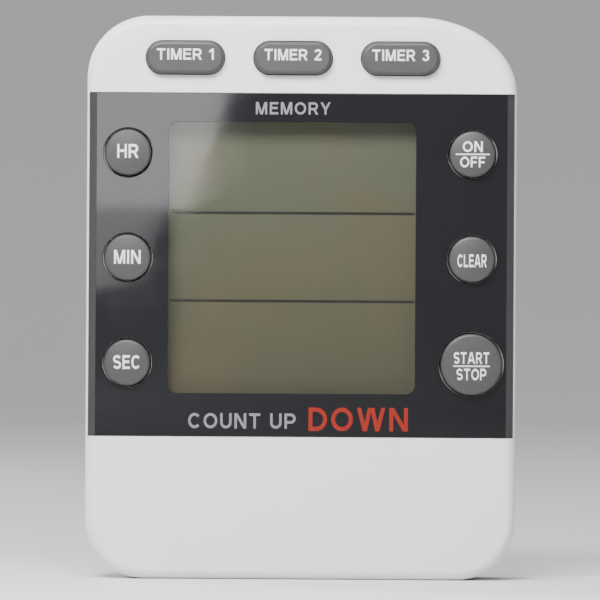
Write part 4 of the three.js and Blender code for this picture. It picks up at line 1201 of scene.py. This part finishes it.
def magnet(name):
    """A disc with worn edges."""
    low, high = depth_span(name)
    radius = (span(name)[1].x - span(name)[0].x) / 2
    edge = 0.3
    profile = [(0, low), (radius - edge, low), (radius, low + edge), (radius, high - edge)]
    profile += [(radius - edge, high), (0, high)]
    made = turned(profile, middle(name), 72)
    return piece(name + "_disc", made, "case", "magnet", replaces=[name], soft=0.08)


def battery():
    """A small round cell lying across, its button end to the right."""
    low, high = span("battery")
    radius, nub, rise = (high.z - low.z) / 2, 1.9, 0.8
    shoulder = high.x - rise
    profile = [(0, low.x + 0.15), (3.4, low.x + 0.15), (3.7, low.x), (radius - 0.5, low.x)]
    profile += [(radius - 0.15, low.x + 0.12), (radius, low.x + 0.5), (radius, shoulder - 0.6)]
    profile += [(radius - 0.15, shoulder - 0.15), (radius - 0.5, shoulder), (3.4, shoulder - 0.05)]
    profile += [(3.1, shoulder - 0.35), (2.3, shoulder - 0.35), (nub, shoulder + 0.1)]
    profile += [(nub, high.x - 0.15), (nub - 0.15, high.x), (0, high.x)]
    bm = turned([(r, x - FRONT) for r, x in profile], (0, 0), 72)
    bmesh.ops.rotate(bm, cent=(0, 0, 0), matrix=Matrix.Rotation(-math.pi / 2, 3, "Z"), verts=bm.verts)
    moved(bm, (0, (low.y + high.y) / 2, (low.z + high.z) / 2))
    return piece("battery_cell", bm, "case", "battery_jacket", replaces=["battery"])


# ---------- build

front_housing()
lens_panel()
divider_lines()
display_gasket()
lens_legends()
for name in ROUND_KEYS:
    round_key(name)
for name in TIMER_KEYS:
    timer_key(name)
key_print("hour", [("HR", 2.7, 4.2, 0.25)])
key_print("minute", [("MIN", 2.7, 5.2, 0.1)])
key_print("second", [("SEC", 2.7, 5.3, 0.1)])
key_print("on_off", [("ON", 2.1, 3.9, 1.5), ("OFF", 2.1, 4.9, -1.5)], 6.6)
key_print("clear", [("CLEAR", 2.5, 5.7, -0.25)])
key_print("start_stop", [("START", 2.25, 6.9, 1.3), ("STOP", 2.25, 5.8, -1.9)], 7.1, -0.3)
for number, name in enumerate(TIMER_KEYS, 1):
    key_print(name, [(f"TIMER {number}", 2.2, 11.1, 0.6)])
for name in ROUND_KEYS + TIMER_KEYS:
    dome(name)
rear_housing()
stand()
battery_door()
for name in HOUSING_SCREWS:
    screw("housing_screw_" + name, 1.5, 1.0)
for name in BOARD_SCREWS:
    screw("board_screw_" + name, 1.1, 0.75)
magnet("magnet_left")
magnet("magnet_right")
battery()

# ---------- room, lights and camera

# How far the floor is flat, and the radius of its sweep up, in metres.
FLAT, SWEEP = 1.6, 2.0


def floor():
    """A pale floor that curves up into a wall far away on every side."""
    profile = [(0, 0, 0), (FLAT, 0, 0)]
    for step in range(1, 13):
        angle = math.radians(7.5 * step)
        profile.append((FLAT + SWEEP * math.sin(angle), 0, SWEEP - SWEEP * math.cos(angle)))
    profile.append((FLAT + SWEEP, 0, 2 * SWEEP))
    bm = line(profile)
    spin_round(bm, (0, 0, 1), 96)
    bmesh.ops.reverse_faces(bm, faces=[face for face in bm.faces if face.normal.z < 0])
    finish = Finish("pale_floor")
    base = finish.blend((214, 214, 213), (220, 220, 219), finish.noise(300, 3))
    made = staged("floor", bm, finish.coated(Base_Color=base, Roughness=0.8))
    made.data.shade_smooth()


def staged(name, bm, material):
    """A thing in the room that isn't part of the object."""
    made = placed(name, bm)
    made.data.materials.append(material)
    return made


def soft_light(name, place, target, size, watts):
    """A rectangular soft light, which the camera doesn't see."""
    lamp = bpy.data.lights.new(name, "AREA")
    lamp.shape = "RECTANGLE"
    lamp.size, lamp.size_y = size
    lamp.energy = watts
    made = bpy.data.objects.new(name, lamp)
    bpy.context.scene.collection.objects.link(made)
    made.location = place
    made.rotation_euler = (Vector(target) - Vector(place)).to_track_quat("-Z", "Y").to_euler()
    made.visible_camera = False


# The window's two panes, each with an outline (across, up) and a brightness.
WINDOW_PANES = {
    "window_top": (
        [(-0.5, 0.096), (-0.058, 0.096), (-0.046, 0.132), (-0.043, 0.147), (-0.031, 0.2), (-0.5, 0.2)],
        7.0,
    ),
    "window_bottom": (
        [(-0.5, 0.059), (-0.1, 0.059), (-0.079, 0.063), (-0.077, 0.086), (-0.069, 0.096), (-0.5, 0.096)],
        3.4,
    ),
}
WINDOW_AWAY = -1.6


def reflected_window():
    """A bright window behind the camera, which the lens mirrors at its upper left."""
    for name, (outline, strength) in WINDOW_PANES.items():
        bm = sheet([(x, WINDOW_AWAY, z) for x, z in outline])
        finish = Finish(name)
        glow = finish.node("ShaderNodeEmission", {}, {"Color": (1, 1, 1, 1), "Strength": strength})
        made = staged(name, bm, finish.surface(glow))
        made.visible_camera = False
        made.visible_shadow = False


AIM = Vector((-0.2, FRONT, HEIGHT / 2 - 0.4)) * MM
CAMERA_DISTANCE = 1.2
CAMERA_SIDE = math.radians(0.3)
CAMERA_ROLL = math.radians(0.36)
SHOWN_WIDTH = 0.1171
SENSOR = 36


def camera():
    """The camera looks at the front almost squarely, and shows SHOWN_WIDTH metres across at the object."""
    lens = bpy.data.cameras.new("camera")
    lens.sensor_width = SENSOR
    lens.lens = SENSOR * CAMERA_DISTANCE / SHOWN_WIDTH
    lens.clip_start = 0.01
    made = bpy.data.objects.new("camera", lens)
    bpy.context.scene.collection.objects.link(made)
    away = Vector((math.sin(CAMERA_SIDE), -math.cos(CAMERA_SIDE), 0)) * CAMERA_DISTANCE
    made.location = AIM + away
    turn = (-away).to_track_quat("-Z", "Y").to_matrix().to_4x4() @ Matrix.Rotation(CAMERA_ROLL, 4, "Z")
    made.rotation_euler = turn.to_euler()
    bpy.context.scene.camera = made


def world():
    """An even, dim sky that fills the shadows."""
    sky = bpy.data.worlds.new("studio")
    bpy.context.scene.world = sky
    sky.use_nodes = True
    back = sky.node_tree.nodes["Background"]
    back.inputs["Color"].default_value = (1.0, 1.0, 1.0, 1)
    back.inputs["Strength"].default_value = 0.27


floor()
world()
camera()
soft_light("main_light", (-0.06, -0.22, 0.265), (0, 0, 0.09), (0.2, 0.12), 2.4)
soft_light("room_light", (0.0, 0.3, 2.6), (0, 0.3, 0), (2.4, 2.4), 48)
soft_light("back_light", (-0.75, 0.5, 0.45), (0, 0, 0.05), (0.2, 0.2), 7)
reflected_window()
